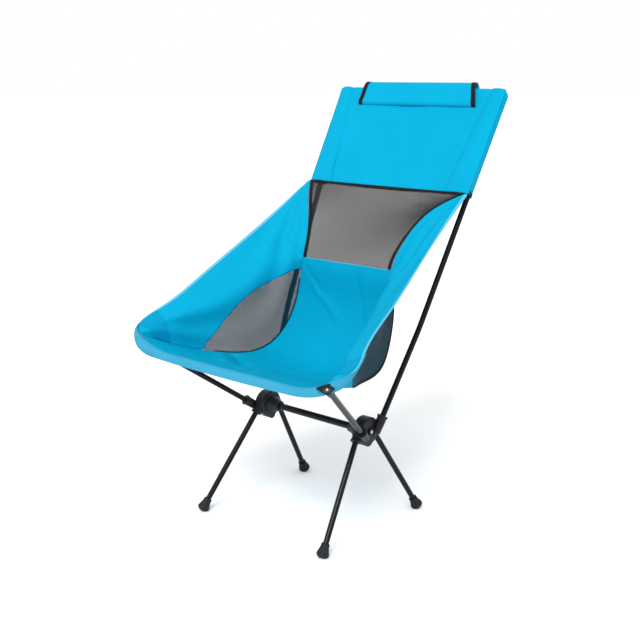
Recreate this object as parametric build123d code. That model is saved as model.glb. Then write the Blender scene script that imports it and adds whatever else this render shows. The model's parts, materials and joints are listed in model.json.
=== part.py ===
from build123d import *
from math import acos, atan2, degrees, pi, sin
import os

os.makedirs("parts", exist_ok=True)

# High-back folding camp chair: two moulded hubs on a crossbar, four shock-corded legs,
# two front poles, two jointed back poles and a sewn sling with mesh windows.
# Millimetres, +Z up, the sitter looks along -Y and the sitter's left is +X.
# Reaches are measured along Y from the crossbar axis, positive to the rear.

# Place of the crossbar axis
CROSSBAR_Y = -56.1
CROSSBAR_Z = 230.0

# Tubes
TUBE_DIA = 13.0
TUBE_WALL = 0.9
CROSSBAR_DIA = 16.0
CROSSBAR_WALL = 1.0

# Legs: where each axis meets the floor, and where it passes the crossbar's height
FRONT_FOOT_X = 188.0
FRONT_FOOT_REACH = -191.0
REAR_FOOT_X = 181.0
REAR_FOOT_REACH = 167.0
FRONT_LEG_X = 152.0
REAR_LEG_X = 146.5
LEG_REACH_AT_HUB = 26.0
LEG_SOCKET_DEPTH = 44.0
LEG_MOUTH_DROP = 22.0

# Front poles: axis at the crossbar's height and at the upper end
FRONT_POLE_X = 171.0
FRONT_POLE_REACH = -30.5
FRONT_TIP_X = 276.0
FRONT_TIP_REACH = -270.0
FRONT_TIP_Z = 410.5
FRONT_MOUTH_RISE = 25.0
FRONT_SOCKET_DEPTH = 44.0

# Back poles: axis at the crossbar's height and at the bend, and how far the upper end lies
# inside and below the top corner of the sling
BACK_POLE_X = 168.6
BACK_POLE_REACH = 20.3
BACK_BEND_X = 201.0
BACK_BEND_REACH = 129.0
BACK_BEND_Z = 451.0
BACK_BEND_RADIUS = 600.0
BACK_TIP_INSET = 7.0
BACK_TIP_DROP = 24.0
BACK_MOUTH_RISE = 34.0
BACK_SOCKET_DEPTH = 42.0
BACK_JOINT_ABOVE_BEND = 58.0
FERRULE_LENGTH = 60.0
FERRULE_WALL = 0.8

# Moulded hub
HUB_INNER_X = 136.0
HUB_OUTER_X = 166.0
HUB_RADIUS = 32.0
HUB_EDGE = 3.5
SOCKET_WALL = 3.2
SOCKET_FLARE = 1.4
LIP_WIDTH = 1.2
LIP_LENGTH = 4.5
LIP_EDGE = 0.8
CROSSBAR_BOSS_LENGTH = 28.0
CROSSBAR_BOSS_ROOT_RADIUS = 23.0
CROSSBAR_BOSS_WALL = 3.4
CROSSBAR_COLLAR_LENGTH = 5.0
CROSSBAR_COLLAR_WIDTH = 1.6
CROSSBAR_SEAT = 24.0
SCREW_BOSS_RADIUS = 9.0
SCREW_BOSS_HEIGHT = 5.0
SCREW_BOSS_EDGE = 1.5
HUB_LOBE_RADIUS = 11.0
HUB_LOBE_DROP = 25.0

# Hub screw and crossbar plug
SCREW_HEAD_RADIUS = 4.6
SCREW_HEAD_HEIGHT = 2.6
SCREW_DIA = 4.0
SCREW_LENGTH = 24.0
SCREW_HEAD_SINK = 3.2
SCREW_RECESS_DIA = 3.0
SCREW_RECESS_SIDES = 6
SCREW_RECESS_DEPTH = 1.4
PLUG_LENGTH = 22.0

# Shock cord, its plugs and the pole tips
CORD_DIA = 3.0
CORD_ANCHOR_DEPTH = 9.0
CORD_PLUG_LENGTH = 14.0
CORD_PLUG_BORE_DEPTH = 10.0
TIP_HEAD_RADIUS = 6.2
TIP_HEAD_LENGTH = 8.0
TIP_HEAD_BEVEL = 3.0

# Rubber feet, along the leg axis from where it meets the floor
FOOT_TOP = 34.0
FOOT_WAIST = 25.0
FOOT_RIM_TOP = 11.5
FOOT_RIM = 8.5
FOOT_BOTTOM = 3.0
FOOT_SOLE_RADIUS = 8.5
FOOT_RIM_RADIUS = 14.0
FOOT_WAIST_RADIUS = 10.0
FOOT_COLLAR_RADIUS = 9.4
FOOT_FLUTE_COUNT = 6
FOOT_FLUTE_RADIUS = 3.0
FOOT_FLUTE_SINK = 1.1
LEG_END = 13.0

# Run of a cutting tool past the face that it opens
CUT_OVERRUN = 1.0

# Clearances, on each side
SLIDE_CLEARANCE = 0.2
FIT_CLEARANCE = 0.1
CLOTH_CLEARANCE = 0.3
SLEEVE_CLEARANCE = 0.7

# Sling cloth
CLOTH = 1.2
TAPE = 0.9
TAPE_WIDTH = 9.0
TAPE_INSET = 2.5
TAPE_LIFT = 0.25
HEM_CLOTH = 2.4
SEAM_GAP = 0.4
SEAT_STEPS = 18
MESH_STEPS = 5
HEM_STEPS = 12
ACROSS_STEPS = 6

# Seat from its front edge to the waist below the back mesh: half width, reach and height
# of the side seam, then reach and height of the cloth at mid width
SEAT_ROWS = [
    (285.0, -272.0, 433.0, -268.0, 394.0),
    (262.0, -217.0, 404.0, -220.0, 385.0),
    (218.0, -125.0, 373.0, -124.0, 360.0),
    (182.0, -52.0, 360.0, -50.0, 348.0),
    (168.0, 28.0, 369.0, 35.0, 360.0),
    (152.0, 85.0, 430.0, 92.0, 426.0),
    (142.0, 106.0, 510.0, 110.0, 509.0),
    (134.0, 110.0, 575.0, 111.0, 574.5),
]

# Upper edge of the back mesh at the mouths of the pole sleeves: its height, how far its ends
# lie outside and before the pole axes, and its bow at mid width
MOUTH_Z = 742.0
MOUTH_OUTSET = 14.25
MOUTH_STANDOFF = 26.9
MOUTH_BOW_BACK = 0.8
MOUTH_BOW_DOWN = 0.5

# Side seam of the back mesh half way up: how far the wing draws it in and forward
SEAM_DRAW_IN = 24.0
SEAM_DRAW_FORWARD = 27.0

# Upper back panel, from the mouths of the pole sleeves to the top edge
TOP_HALF_WIDTH = 245.0
TOP_REACH = 384.0
TOP_Z = 970.0
TOP_CORNER_RADIUS = 10.0
PANEL_GAP = 0.6

# Front hem: width at mid width, the way it slopes and its share left at the corners
HEM_WIDTH = 23.0
HEM_FORWARD = 0.82
HEM_DOWN = 0.57
HEM_CORNER_SHARE = 0.25

# Free edge of each side wing from the front corner on, and where it ends beside the mouth
WING_EDGE = [
    (292.0, -271.0, 436.0),
    (314.0, -250.0, 447.0),
    (304.0, -193.0, 478.0),
    (284.0, -86.0, 539.0),
    (257.0, 81.0, 640.0),
]
WING_END_OUTSET = 2.0
WING_END_FORWARD = 7.0
WING_END_DROP = 2.0

# Side mesh window, in steps along the wing, and its share of the wing's width
WINDOW_FIRST = 5
WINDOW_LAST = 17
WINDOW_SHARE = 0.51
WINDOW_BOW = 0.8
WINDOW_BLUNT = 0.03
PATCH_STEPS = 4
PATCH_INSET = 3.0

# Sleeves of the back poles: width from the panel's edge to the seam, and their ends
SLEEVE_MOUTH_WIDTH = 59.0
SLEEVE_TOP_WIDTH = 31.0
SLEEVE_EDGE_INSET = 1.0
SLEEVE_MOUTH_RISE = 2.0
SLEEVE_TOP_DROP = 14.0

# Headrest sleeve folded over the top edge
FLAP_HALF_WIDTH = 168.0
FLAP_DEPTH = 47.0
FLAP_RISE = 5.0
FLAP_BULGE = 13.0
FLAP_BINDING_WIDTH = 13.0

# Moulded corner sockets of the front poles
CORNER_FACING = (0.45, -0.87, 0.2)
CORNER_PLATE = [(-27.0, 1.0), (3.0, 12.0), (16.0, 3.0), (2.0, -12.0)]
CORNER_PLATE_ROUND = 3.0
CORNER_PLATE_THICKNESS = 3.0
CORNER_CUP_WALL = 2.0
CORNER_CUP_LENGTH = 18.0
RIVET_RADIUS = 2.6
RIVET_HEIGHT = 2.0


def at(x, reach, z):
    """Point from its X, its reach from the crossbar axis and its height."""
    return Vector(x, CROSSBAR_Y + reach, z)


def rod(start, end, radius):
    """Solid cylinder between two points."""
    way = end - start
    return Solid.make_cylinder(radius, way.length, Plane(origin=start, z_dir=way))


def pipe(start, end, outer_radius, wall):
    """Open tube between two points."""
    return rod(start, end, outer_radius) - rod(start, end, outer_radius - wall)


def cone(start, end, start_radius, end_radius):
    """Solid cone between two points."""
    way = end - start
    return Solid.make_cone(start_radius, end_radius, way.length, Plane(origin=start, z_dir=way))


def along(start, direction, distance):
    """Point at a distance from a start along a unit direction."""
    return start + direction * distance


def mirrored(shape):
    """The same piece on the other side of the chair."""
    return mirror(shape, about=Plane.YZ)


def write(name, *shapes):
    """Write one node, as one solid or a group of solids."""
    solids = [solid for shape in shapes for solid in shape.solids()]
    node = solids[0] if len(solids) == 1 else Compound(children=solids)
    export_step(node, "parts/" + name + ".step")


def write_pair(name, shape):
    """Write a piece and its mirror image as a left and a right node."""
    write("left_" + name, shape)
    write("right_" + name, mirrored(shape))


# Axes on the sitter's left
TUBE_RADIUS = TUBE_DIA / 2
TUBE_BORE = TUBE_RADIUS - TUBE_WALL
SOCKET_BORE = TUBE_RADIUS + SLIDE_CLEARANCE

front_foot_point = at(FRONT_FOOT_X, FRONT_FOOT_REACH, 0)
front_leg_point = at(FRONT_LEG_X, -LEG_REACH_AT_HUB, CROSSBAR_Z)
front_leg_up = (front_leg_point - front_foot_point).normalized()
rear_foot_point = at(REAR_FOOT_X, REAR_FOOT_REACH, 0)
rear_leg_point = at(REAR_LEG_X, LEG_REACH_AT_HUB, CROSSBAR_Z)
rear_leg_up = (rear_leg_point - rear_foot_point).normalized()

front_pole_point = at(FRONT_POLE_X, FRONT_POLE_REACH, CROSSBAR_Z)
front_pole_tip = at(FRONT_TIP_X, FRONT_TIP_REACH, FRONT_TIP_Z)
front_pole_up = (front_pole_tip - front_pole_point).normalized()

back_pole_point = at(BACK_POLE_X, BACK_POLE_REACH, CROSSBAR_Z)
back_bend_point = at(BACK_BEND_X, BACK_BEND_REACH, BACK_BEND_Z)
back_pole_tip = at(TOP_HALF_WIDTH - BACK_TIP_INSET, TOP_REACH, TOP_Z - BACK_TIP_DROP)
back_pole_up = (back_bend_point - back_pole_point).normalized()
back_upper_up = (back_pole_tip - back_bend_point).normalized()

# Each socket: its mouth, the direction out of it and its depth
leg_mouths = {
    "front": along(front_leg_point, front_leg_up, -LEG_MOUTH_DROP),
    "rear": along(rear_leg_point, rear_leg_up, -LEG_MOUTH_DROP),
}
sockets = [
    (leg_mouths["front"], -front_leg_up, LEG_SOCKET_DEPTH),
    (leg_mouths["rear"], -rear_leg_up, LEG_SOCKET_DEPTH),
    (along(front_pole_point, front_pole_up, FRONT_MOUTH_RISE), front_pole_up, FRONT_SOCKET_DEPTH),
    (along(back_pole_point, back_pole_up, BACK_MOUTH_RISE), back_pole_up, BACK_SOCKET_DEPTH),
]


# Moulded hub
def socket_sleeve(mouth, out, depth):
    """Flared sleeve round one socket, with a bevelled lip at its mouth."""
    root = along(mouth, out, -depth)
    lip_start = along(mouth, out, -LIP_LENGTH)
    root_radius = SOCKET_BORE + SOCKET_WALL
    mouth_radius = root_radius + SOCKET_FLARE
    lip = rod(lip_start, mouth, mouth_radius + LIP_WIDTH)
    lip = chamfer(lip.edges().filter_by(GeomType.CIRCLE).sort_by_distance(mouth)[0], LIP_EDGE)
    return cone(root, mouth, root_radius, mouth_radius) + lip


def hub():
    """Hub body with four pole sockets, the crossbar boss and the screw boss."""
    axis_inner = at(HUB_INNER_X, 0, CROSSBAR_Z)
    axis_outer = at(HUB_OUTER_X, 0, CROSSBAR_Z)
    disc = rod(axis_inner, axis_outer, HUB_RADIUS)
    disc = chamfer(disc.edges().filter_by(GeomType.CIRCLE), HUB_EDGE)
    lobe_shift = Vector(0, 0, -HUB_LOBE_DROP)
    lobe = rod(axis_inner + lobe_shift, axis_outer + lobe_shift, HUB_LOBE_RADIUS)
    lobe = chamfer(lobe.edges().sort_by(Axis.X)[-1], HUB_EDGE)

    inward = Vector(-1, 0, 0)
    boss_end = along(axis_inner, inward, CROSSBAR_BOSS_LENGTH)
    boss_radius = CROSSBAR_DIA / 2 + CROSSBAR_BOSS_WALL
    boss_start = along(axis_inner, inward, -HUB_EDGE)
    boss = cone(boss_start, boss_end, CROSSBAR_BOSS_ROOT_RADIUS, boss_radius)
    collar_start = along(boss_end, inward, -CROSSBAR_COLLAR_LENGTH)
    collar = rod(collar_start, boss_end, boss_radius + CROSSBAR_COLLAR_WIDTH)
    collar = chamfer(collar.edges().sort_by(Axis.X)[0], LIP_EDGE)

    screw_top = along(axis_outer, inward, -SCREW_BOSS_HEIGHT)
    screw_boss = rod(axis_inner, screw_top, SCREW_BOSS_RADIUS)
    screw_boss = chamfer(screw_boss.edges().sort_by(Axis.X)[-1], SCREW_BOSS_EDGE)

    body = disc + lobe + boss + collar + screw_boss
    for mouth, out, depth in sockets:
        body = body + socket_sleeve(mouth, out, depth)

    for mouth, out, depth in sockets:
        bottom = along(mouth, out, -depth)
        body = body - rod(along(mouth, out, LIP_LENGTH), bottom, SOCKET_BORE)
        anchor = along(bottom, out, -CORD_ANCHOR_DEPTH)
        body = body - rod(along(bottom, out, CUT_OVERRUN), anchor, CORD_DIA / 2 + FIT_CLEARANCE)
    seat_end = along(axis_inner, inward, -CROSSBAR_SEAT)
    seat_mouth = along(boss_end, inward, CUT_OVERRUN)
    body = body - rod(seat_mouth, seat_end, CROSSBAR_DIA / 2 + FIT_CLEARANCE)
    screw_way = along(seat_end, inward, CUT_OVERRUN)
    body = body - rod(screw_way, screw_top, SCREW_DIA / 2 + SLIDE_CLEARANCE)
    head_seat = along(screw_top, inward, SCREW_HEAD_SINK)
    head_mouth = along(screw_top, inward, -CUT_OVERRUN)
    body = body - rod(head_seat, head_mouth, SCREW_HEAD_RADIUS + SLIDE_CLEARANCE)
    return body


left_hub = hub()
write_pair("hub", left_hub)

# Crossbar, its end plugs and the hub screws
crossbar_end_x = HUB_INNER_X + CROSSBAR_SEAT - FIT_CLEARANCE
crossbar_left = at(crossbar_end_x, 0, CROSSBAR_Z)
crossbar_right = at(-crossbar_end_x, 0, CROSSBAR_Z)
write("crossbar", pipe(crossbar_right, crossbar_left, CROSSBAR_DIA / 2, CROSSBAR_WALL))

plug_radius = CROSSBAR_DIA / 2 - CROSSBAR_WALL - FIT_CLEARANCE
plug_inner = crossbar_left - Vector(PLUG_LENGTH, 0, 0)
plug = rod(plug_inner, crossbar_left, plug_radius)
plug = plug - rod(plug_inner, crossbar_left, SCREW_DIA / 2 + FIT_CLEARANCE)
write("crossbar_end_plugs", plug, mirrored(plug))

screw_seat = at(HUB_OUTER_X + SCREW_BOSS_HEIGHT - SCREW_HEAD_SINK, 0, CROSSBAR_Z)
screw_head_top = screw_seat + Vector(SCREW_HEAD_HEIGHT, 0, 0)
screw = rod(screw_seat, screw_head_top, SCREW_HEAD_RADIUS)
screw = chamfer(screw.edges().sort_by(Axis.X)[-1], SCREW_HEAD_HEIGHT / 2)
screw = screw + rod(screw_seat - Vector(SCREW_LENGTH, 0, 0), screw_seat, SCREW_DIA / 2)
recess_bottom = screw_head_top - Vector(SCREW_RECESS_DEPTH, 0, 0)
recess_plane = Plane(origin=recess_bottom, z_dir=(1, 0, 0))
recess_face = recess_plane * RegularPolygon(SCREW_RECESS_DIA / 2, SCREW_RECESS_SIDES)
recess = extrude(recess_face, SCREW_RECESS_DEPTH + CUT_OVERRUN)
screw = screw - recess
write("hub_screws", screw, mirrored(screw))


# Legs with feet, cord plugs and shock cords
def foot(floor_point, up):
    """Bell-shaped rubber foot on the leg's axis, fluted and flat where it stands."""
    def level(distance):
        return along(floor_point, up, distance)

    collar = cone(level(FOOT_WAIST), level(FOOT_TOP), FOOT_WAIST_RADIUS, FOOT_COLLAR_RADIUS)
    skirt = cone(level(FOOT_RIM_TOP), level(FOOT_WAIST), FOOT_RIM_RADIUS, FOOT_WAIST_RADIUS)
    rim = rod(level(FOOT_RIM), level(FOOT_RIM_TOP), FOOT_RIM_RADIUS)
    sole = cone(level(FOOT_BOTTOM), level(FOOT_RIM), FOOT_SOLE_RADIUS, FOOT_RIM_RADIUS)
    shape = collar + skirt + rim + sole
    shape = shape - rod(level(LEG_END), level(FOOT_TOP), TUBE_RADIUS + FIT_CLEARANCE)
    lean = (FOOT_RIM_RADIUS - FOOT_WAIST_RADIUS) / (FOOT_WAIST - FOOT_RIM_TOP)
    axis = Plane(origin=floor_point, z_dir=up)
    for index in range(FOOT_FLUTE_COUNT):
        turn = Rotation(0, 0, 360 * index / FOOT_FLUTE_COUNT)
        low_out = FOOT_RIM_RADIUS + FOOT_FLUTE_RADIUS - FOOT_FLUTE_SINK
        high_out = low_out - lean * (FOOT_TOP - FOOT_RIM_TOP)
        flute = rod(Vector(low_out, 0, FOOT_RIM_TOP), Vector(high_out, 0, FOOT_TOP), FOOT_FLUTE_RADIUS)
        shape = shape - axis.location * turn * flute
    return split(shape, bisect_by=Plane.XY, keep=Keep.TOP)


def write_leg(place, floor_point, up):
    """Leg tube, foot, cord plug and shock cord of the legs at one place, front or rear."""
    mouth = leg_mouths[place]
    top = along(mouth, up, LEG_SOCKET_DEPTH - SLIDE_CLEARANCE)
    bottom = along(floor_point, up, LEG_END + FIT_CLEARANCE)
    write_pair(place + "_leg", pipe(bottom, top, TUBE_RADIUS, TUBE_WALL))
    write_pair(place + "_foot", foot(floor_point, up))
    plug_top = along(bottom, up, CORD_PLUG_LENGTH)
    plug_bore_bottom = along(plug_top, up, -CORD_PLUG_BORE_DEPTH)
    cord_plug = rod(bottom, plug_top, TUBE_BORE - FIT_CLEARANCE)
    cord_plug = cord_plug - rod(plug_bore_bottom, plug_top, CORD_DIA / 2 + SLIDE_CLEARANCE)
    write_pair(place + "_leg_cord_plug", cord_plug)
    anchor = along(mouth, up, LEG_SOCKET_DEPTH + CORD_ANCHOR_DEPTH)
    cord_end = along(plug_bore_bottom, up, SLIDE_CLEARANCE)
    write_pair(place + "_leg_shock_cord", rod(cord_end, anchor, CORD_DIA / 2))


write_leg("front", front_foot_point, front_leg_up)
write_leg("rear", rear_foot_point, rear_leg_up)


# Front poles
def pole_tip(end, up):
    """Plug in the upper end of a pole with a bevelled head and a bore for the cord."""
    head_top = along(end, up, TIP_HEAD_LENGTH)
    head = rod(end, head_top, TIP_HEAD_RADIUS)
    head = chamfer(head.edges().filter_by(GeomType.CIRCLE).sort_by(Axis.Z)[-1], TIP_HEAD_BEVEL)
    plug_end = along(end, up, -CORD_PLUG_LENGTH)
    bore_end = along(plug_end, up, CORD_PLUG_BORE_DEPTH)
    tip = head + rod(plug_end, end, TUBE_BORE - FIT_CLEARANCE)
    return tip - rod(plug_end, bore_end, CORD_DIA / 2 + FIT_CLEARANCE)


front_bottom = along(front_pole_point, front_pole_up, FRONT_MOUTH_RISE - FRONT_SOCKET_DEPTH)
front_anchor = along(front_bottom, front_pole_up, -CORD_ANCHOR_DEPTH)
tip_cord_drop = CORD_PLUG_LENGTH - CORD_PLUG_BORE_DEPTH + FIT_CLEARANCE
front_cord_end = along(front_pole_tip, front_pole_up, -tip_cord_drop)
write_pair("front_pole", pipe(front_bottom, front_pole_tip, TUBE_RADIUS, TUBE_WALL))
write_pair("front_pole_tip", pole_tip(front_pole_tip, front_pole_up))
write_pair("front_pole_shock_cord", rod(front_anchor, front_cord_end, CORD_DIA / 2))

# Back poles: a bent lower section, a straight upper section and the ferrule that joins them
back_bottom = along(back_pole_point, back_pole_up, BACK_MOUTH_RISE - BACK_SOCKET_DEPTH)
back_anchor = along(back_bottom, back_pole_up, -CORD_ANCHOR_DEPTH)
back_joint = along(back_bend_point, back_upper_up, BACK_JOINT_ABOVE_BEND)


def bent(start, end, radius):
    """Round bar from a start through the back pole's bend to an end."""
    path = FilletPolyline(start, back_bend_point, end, radius=BACK_BEND_RADIUS)
    section = Plane(origin=start, z_dir=back_pole_up) * Circle(radius)
    return sweep(section, path=path)


lower_section = bent(back_bottom, back_joint, TUBE_RADIUS) - bent(back_bottom, back_joint, TUBE_BORE)
write_pair("back_pole_lower", lower_section)
write_pair("back_pole_upper", pipe(back_joint, back_pole_tip, TUBE_RADIUS, TUBE_WALL))
ferrule_start = along(back_joint, back_upper_up, -FERRULE_LENGTH / 2)
ferrule_end = along(back_joint, back_upper_up, FERRULE_LENGTH / 2)
write_pair("back_pole_ferrule", pipe(ferrule_start, ferrule_end, TUBE_BORE - FIT_CLEARANCE, FERRULE_WALL))
write_pair("back_pole_tip", pole_tip(back_pole_tip, back_upper_up))
back_cord_end = along(back_pole_tip, back_upper_up, -tip_cord_drop)
write_pair("back_pole_shock_cord", bent(back_anchor, back_cord_end, CORD_DIA / 2))


# Sling: each cloth piece is a run of straight facets through thin sections
def strip_section(start, end, lift):
    """Thin straight section from a start to an end, with its thickness as a vector."""
    return Face(Wire.make_polygon([start, end, end + lift, start + lift], close=True))


def bowed_section(left, middle, lift):
    """Thin section from a point to its mirror image that bows through a middle point."""
    half = Vector(left.X, 0, 0)
    bow = Vector(0, middle.Y - left.Y, middle.Z - left.Z)
    shares = steps(1, -1, ACROSS_STEPS)
    near = [middle + half * share - bow * (share * share) for share in shares]
    far = [point + lift for point in reversed(near)]
    return Face(Wire.make_polygon(near + far, close=True))


def steps(start, end, count):
    """Evenly spaced values from a start to an end."""
    return [start + (end - start) * index / count for index in range(count + 1)]


mouth_pole = along(back_bend_point, back_upper_up, (MOUTH_Z - BACK_BEND_Z) / back_upper_up.Z)
mouth_corner = mouth_pole + Vector(MOUTH_OUTSET, -MOUTH_STANDOFF, 0)
mouth_half = mouth_corner.X
mouth_middle = Vector(0, mouth_corner.Y + MOUTH_BOW_BACK, MOUTH_Z - MOUTH_BOW_DOWN)
seam_rows = [at(half, reach, z) for half, reach, z, _, _ in SEAT_ROWS]
middle_rows = [at(0, reach, z) for _, _, _, reach, z in SEAT_ROWS]
waist_corner = seam_rows[-1]
waist_middle = middle_rows[-1]
seam_draw = Vector(SEAM_DRAW_IN, SEAM_DRAW_FORWARD, 0)
left_seam = Spline(*seam_rows, (waist_corner + mouth_corner) / 2 - seam_draw, mouth_corner)
middle_line = Spline(*middle_rows, (waist_middle + mouth_middle) / 2, mouth_middle)
seam_waist = left_seam.param_at_point(waist_corner)
middle_waist = middle_line.param_at_point(waist_middle)
seam_steps = steps(0, seam_waist, SEAT_STEPS) + steps(seam_waist, 1, MESH_STEPS)[1:]
middle_steps = steps(0, middle_waist, SEAT_STEPS) + steps(middle_waist, 1, MESH_STEPS)[1:]
STEP_COUNT = SEAT_STEPS + MESH_STEPS
seam_points = [left_seam @ u for u in seam_steps]
middle_points = [middle_line @ u for u in middle_steps]
bows = []
lifts = []
for index in range(STEP_COUNT + 1):
    side = seam_points[index]
    middle = middle_points[index]
    before = middle_points[max(index - 1, 0)]
    after = middle_points[min(index + 1, STEP_COUNT)]
    run = (after - before).normalized()
    bow = Vector(0, middle.Y - side.Y, middle.Z - side.Z)
    square = bow.normalized().dot(Vector(0, run.Z, -run.Y))
    bows.append(bow)
    lifts.append(bow.normalized() * (CLOTH / square))
seat_sections = [bowed_section(*row) for row in zip(seam_points, middle_points, lifts)]
write("seat_panel", loft(seat_sections[: SEAT_STEPS + 1], ruled=True))
write("back_mesh", loft(seat_sections[SEAT_STEPS:], ruled=True))

# Side wings with their mesh windows and corner patches
wing_end = mouth_corner + Vector(WING_END_OUTSET, -WING_END_FORWARD, -WING_END_DROP)
wing_edge = Spline(*[at(*point) for point in WING_EDGE], wing_end)
edge_points = [wing_edge @ u for u in seam_steps]
OUTSIDE = Vector(1, 0, -1)


def window_share(index):
    """Share of the wing's width that is mesh at a step along it."""
    if index < WINDOW_FIRST or index > WINDOW_LAST:
        return 0
    part = (index - WINDOW_FIRST) / (WINDOW_LAST - WINDOW_FIRST)
    return max(WINDOW_SHARE * sin(pi * part) ** WINDOW_BOW, WINDOW_BLUNT)


def wing_normal(index):
    """Unit normal of the wing at a step along it, towards the outside."""
    before = max(index - 1, 0)
    after = min(index + 1, STEP_COUNT)
    run = seam_points[after] + edge_points[after] - seam_points[before] - edge_points[before]
    normal = (edge_points[index] - seam_points[index]).cross(run).normalized()
    return normal if normal.dot(OUTSIDE) > 0 else -normal


def wing_section(index, first, last, lift):
    """Section of the wing between two distances from its seam, with its thickness as a vector."""
    across = (edge_points[index] - seam_points[index]).normalized()
    start = seam_points[index] + across * (first + SEAM_GAP)
    return strip_section(start, seam_points[index] + across * last, lift)


wing_widths = [(edge - seam).length for edge, seam in zip(edge_points, seam_points)]
wing_sections = []
for index, width in enumerate(wing_widths):
    normal = wing_normal(index)
    wing_sections.append(wing_section(index, width * window_share(index), width, normal * CLOTH))
write_pair("side_wing", loft(wing_sections, ruled=True))

window_sections = []
binding_sections = []
for index in range(WINDOW_FIRST, WINDOW_LAST + 1):
    mesh_width = wing_widths[index] * window_share(index)
    normal = wing_normal(index)
    window_sections.append(wing_section(index, 0, mesh_width, normal * CLOTH))
    if mesh_width > TAPE_INSET + TAPE_WIDTH:
        binding = wing_section(index, TAPE_INSET, TAPE_INSET + TAPE_WIDTH, normal * -TAPE)
        binding_sections.append(binding.moved(Location(normal * -TAPE_LIFT)))
write_pair("side_mesh", loft(window_sections, ruled=True))
write_pair("side_mesh_binding", loft(binding_sections, ruled=True))

patch_sections = []
for index in range(1, PATCH_STEPS + 1):
    normal = wing_normal(index)
    patch = wing_section(index, PATCH_INSET, wing_widths[index] - PATCH_INSET, normal * -TAPE)
    patch_sections.append(patch.moved(Location(normal * -TAPE_LIFT)))
write_pair("corner_patch", loft(patch_sections, ruled=True))

# Bindings of the back mesh
mesh_run = (middle_points[-1] - middle_points[SEAT_STEPS]).normalized()
mesh_inside = Vector(0, -mesh_run.Z, mesh_run.Y)


def mesh_point(index, share):
    """Point of the back mesh at a step along it and a share of its half width."""
    half = Vector(seam_points[index].X, 0, 0)
    return middle_points[index] + half * share - bows[index] * (share * share)


across_shares = steps(1, -1, ACROSS_STEPS)
side_tape_sections = []
for index in range(SEAT_STEPS + 1, STEP_COUNT):
    inward = (mesh_point(index, across_shares[1]) - seam_points[index]).normalized()
    start = seam_points[index] + inward * TAPE_INSET + mesh_inside * TAPE_LIFT
    side_tape_sections.append(strip_section(start, start + inward * TAPE_WIDTH, mesh_inside * TAPE))
side_tape = loft(side_tape_sections, ruled=True)
write("back_mesh_side_bindings", side_tape, mirrored(side_tape))
tape_share = 1 - (TAPE_WIDTH + TAPE_INSET) / mouth_half
top_tape_sections = []
for share in [tape_share, *across_shares[1:-1], -tape_share]:
    edge = mesh_point(STEP_COUNT, share)
    down = (mesh_point(STEP_COUNT - 1, share) - edge).normalized()
    start = edge + mesh_inside * TAPE_LIFT
    top_tape_sections.append(strip_section(start, start + down * TAPE_WIDTH, mesh_inside * TAPE))
write("back_mesh_top_binding", loft(top_tape_sections, ruled=True))

# Front hem along the seat's front edge
hem_way = Vector(0, -HEM_FORWARD, -HEM_DOWN).normalized()
hem_lift = Vector(0, hem_way.Z, -hem_way.Y) * HEM_CLOTH
front_half = Vector(seam_points[0].X, 0, 0)
hem_sections = []
for share in steps(1, -1, HEM_STEPS):
    ridge = middle_points[0] + front_half * share - bows[0] * (share * share)
    width = HEM_WIDTH * (1 - (1 - HEM_CORNER_SHARE) * share**4)
    hem_sections.append(strip_section(ridge + hem_way * SEAM_GAP, ridge + hem_way * width, hem_lift))
write("front_hem", loft(hem_sections, ruled=True))

# Upper back panel, its pole sleeves and the headrest sleeve
mouth_level = Vector(0, mouth_corner.Y, MOUTH_Z)
panel_bottom = mouth_level
panel_top = at(0, TOP_REACH, TOP_Z)
panel_up = (panel_top - panel_bottom).normalized()
panel_height = (panel_top - panel_bottom).length
panel_back = Vector(0, panel_up.Z, -panel_up.Y)
panel_plane = Plane(origin=panel_bottom, x_dir=(1, 0, 0), z_dir=-panel_back)
with BuildSketch(panel_plane) as panel_sketch:
    Polygon(
        (-mouth_half, PANEL_GAP),
        (mouth_half, PANEL_GAP),
        (TOP_HALF_WIDTH, panel_height),
        (-TOP_HALF_WIDTH, panel_height),
        align=None,
    )
    fillet(panel_sketch.vertices().sort_by(Axis.Z)[-2:], TOP_CORNER_RADIUS)
write("upper_back_panel", extrude(panel_sketch.sketch, -CLOTH))


def touch(centre, point, radius, side):
    """Angle at which a line from a point touches a circle, on one side of it."""
    away = point - centre
    return degrees(atan2(away.Y, away.X) + side * acos(radius / away.length))


def wrap(centre, left, right, radius):
    """Line from the left point round the pole and on to the right point."""
    left_angle = touch(centre, left, radius, -1) % 360
    right_angle = touch(centre, right, radius, 1)
    arc = CenterArc(centre, radius, left_angle, right_angle - left_angle)
    return [Line(left, arc @ 0), arc, Line(arc @ 1, right)]


def sleeve_section(height, seam_x, edge_x):
    """Section of a pole sleeve behind the panel, at a height along the panel."""
    origin = panel_bottom + panel_up * height
    section = Plane(origin=origin, x_dir=(1, 0, 0), z_dir=panel_up)
    rise = (origin - back_bend_point).dot(panel_up) / back_upper_up.dot(panel_up)
    pole = along(back_bend_point, back_upper_up, rise)
    centre = Vector(pole.X, (pole - origin).dot(panel_back))
    foot_y = CLOTH + TAPE_LIFT
    radius = TUBE_RADIUS + SLEEVE_CLEARANCE
    inner = wrap(centre, Vector(seam_x + CLOTH, foot_y), Vector(edge_x - CLOTH, foot_y), radius)
    outer = wrap(centre, Vector(seam_x, foot_y), Vector(edge_x, foot_y), radius + CLOTH)
    ends = [Line(inner[0] @ 0, outer[0] @ 0), Line(inner[2] @ 1, outer[2] @ 1)]
    return section * Face(Wire(inner + outer + ends))


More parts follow.
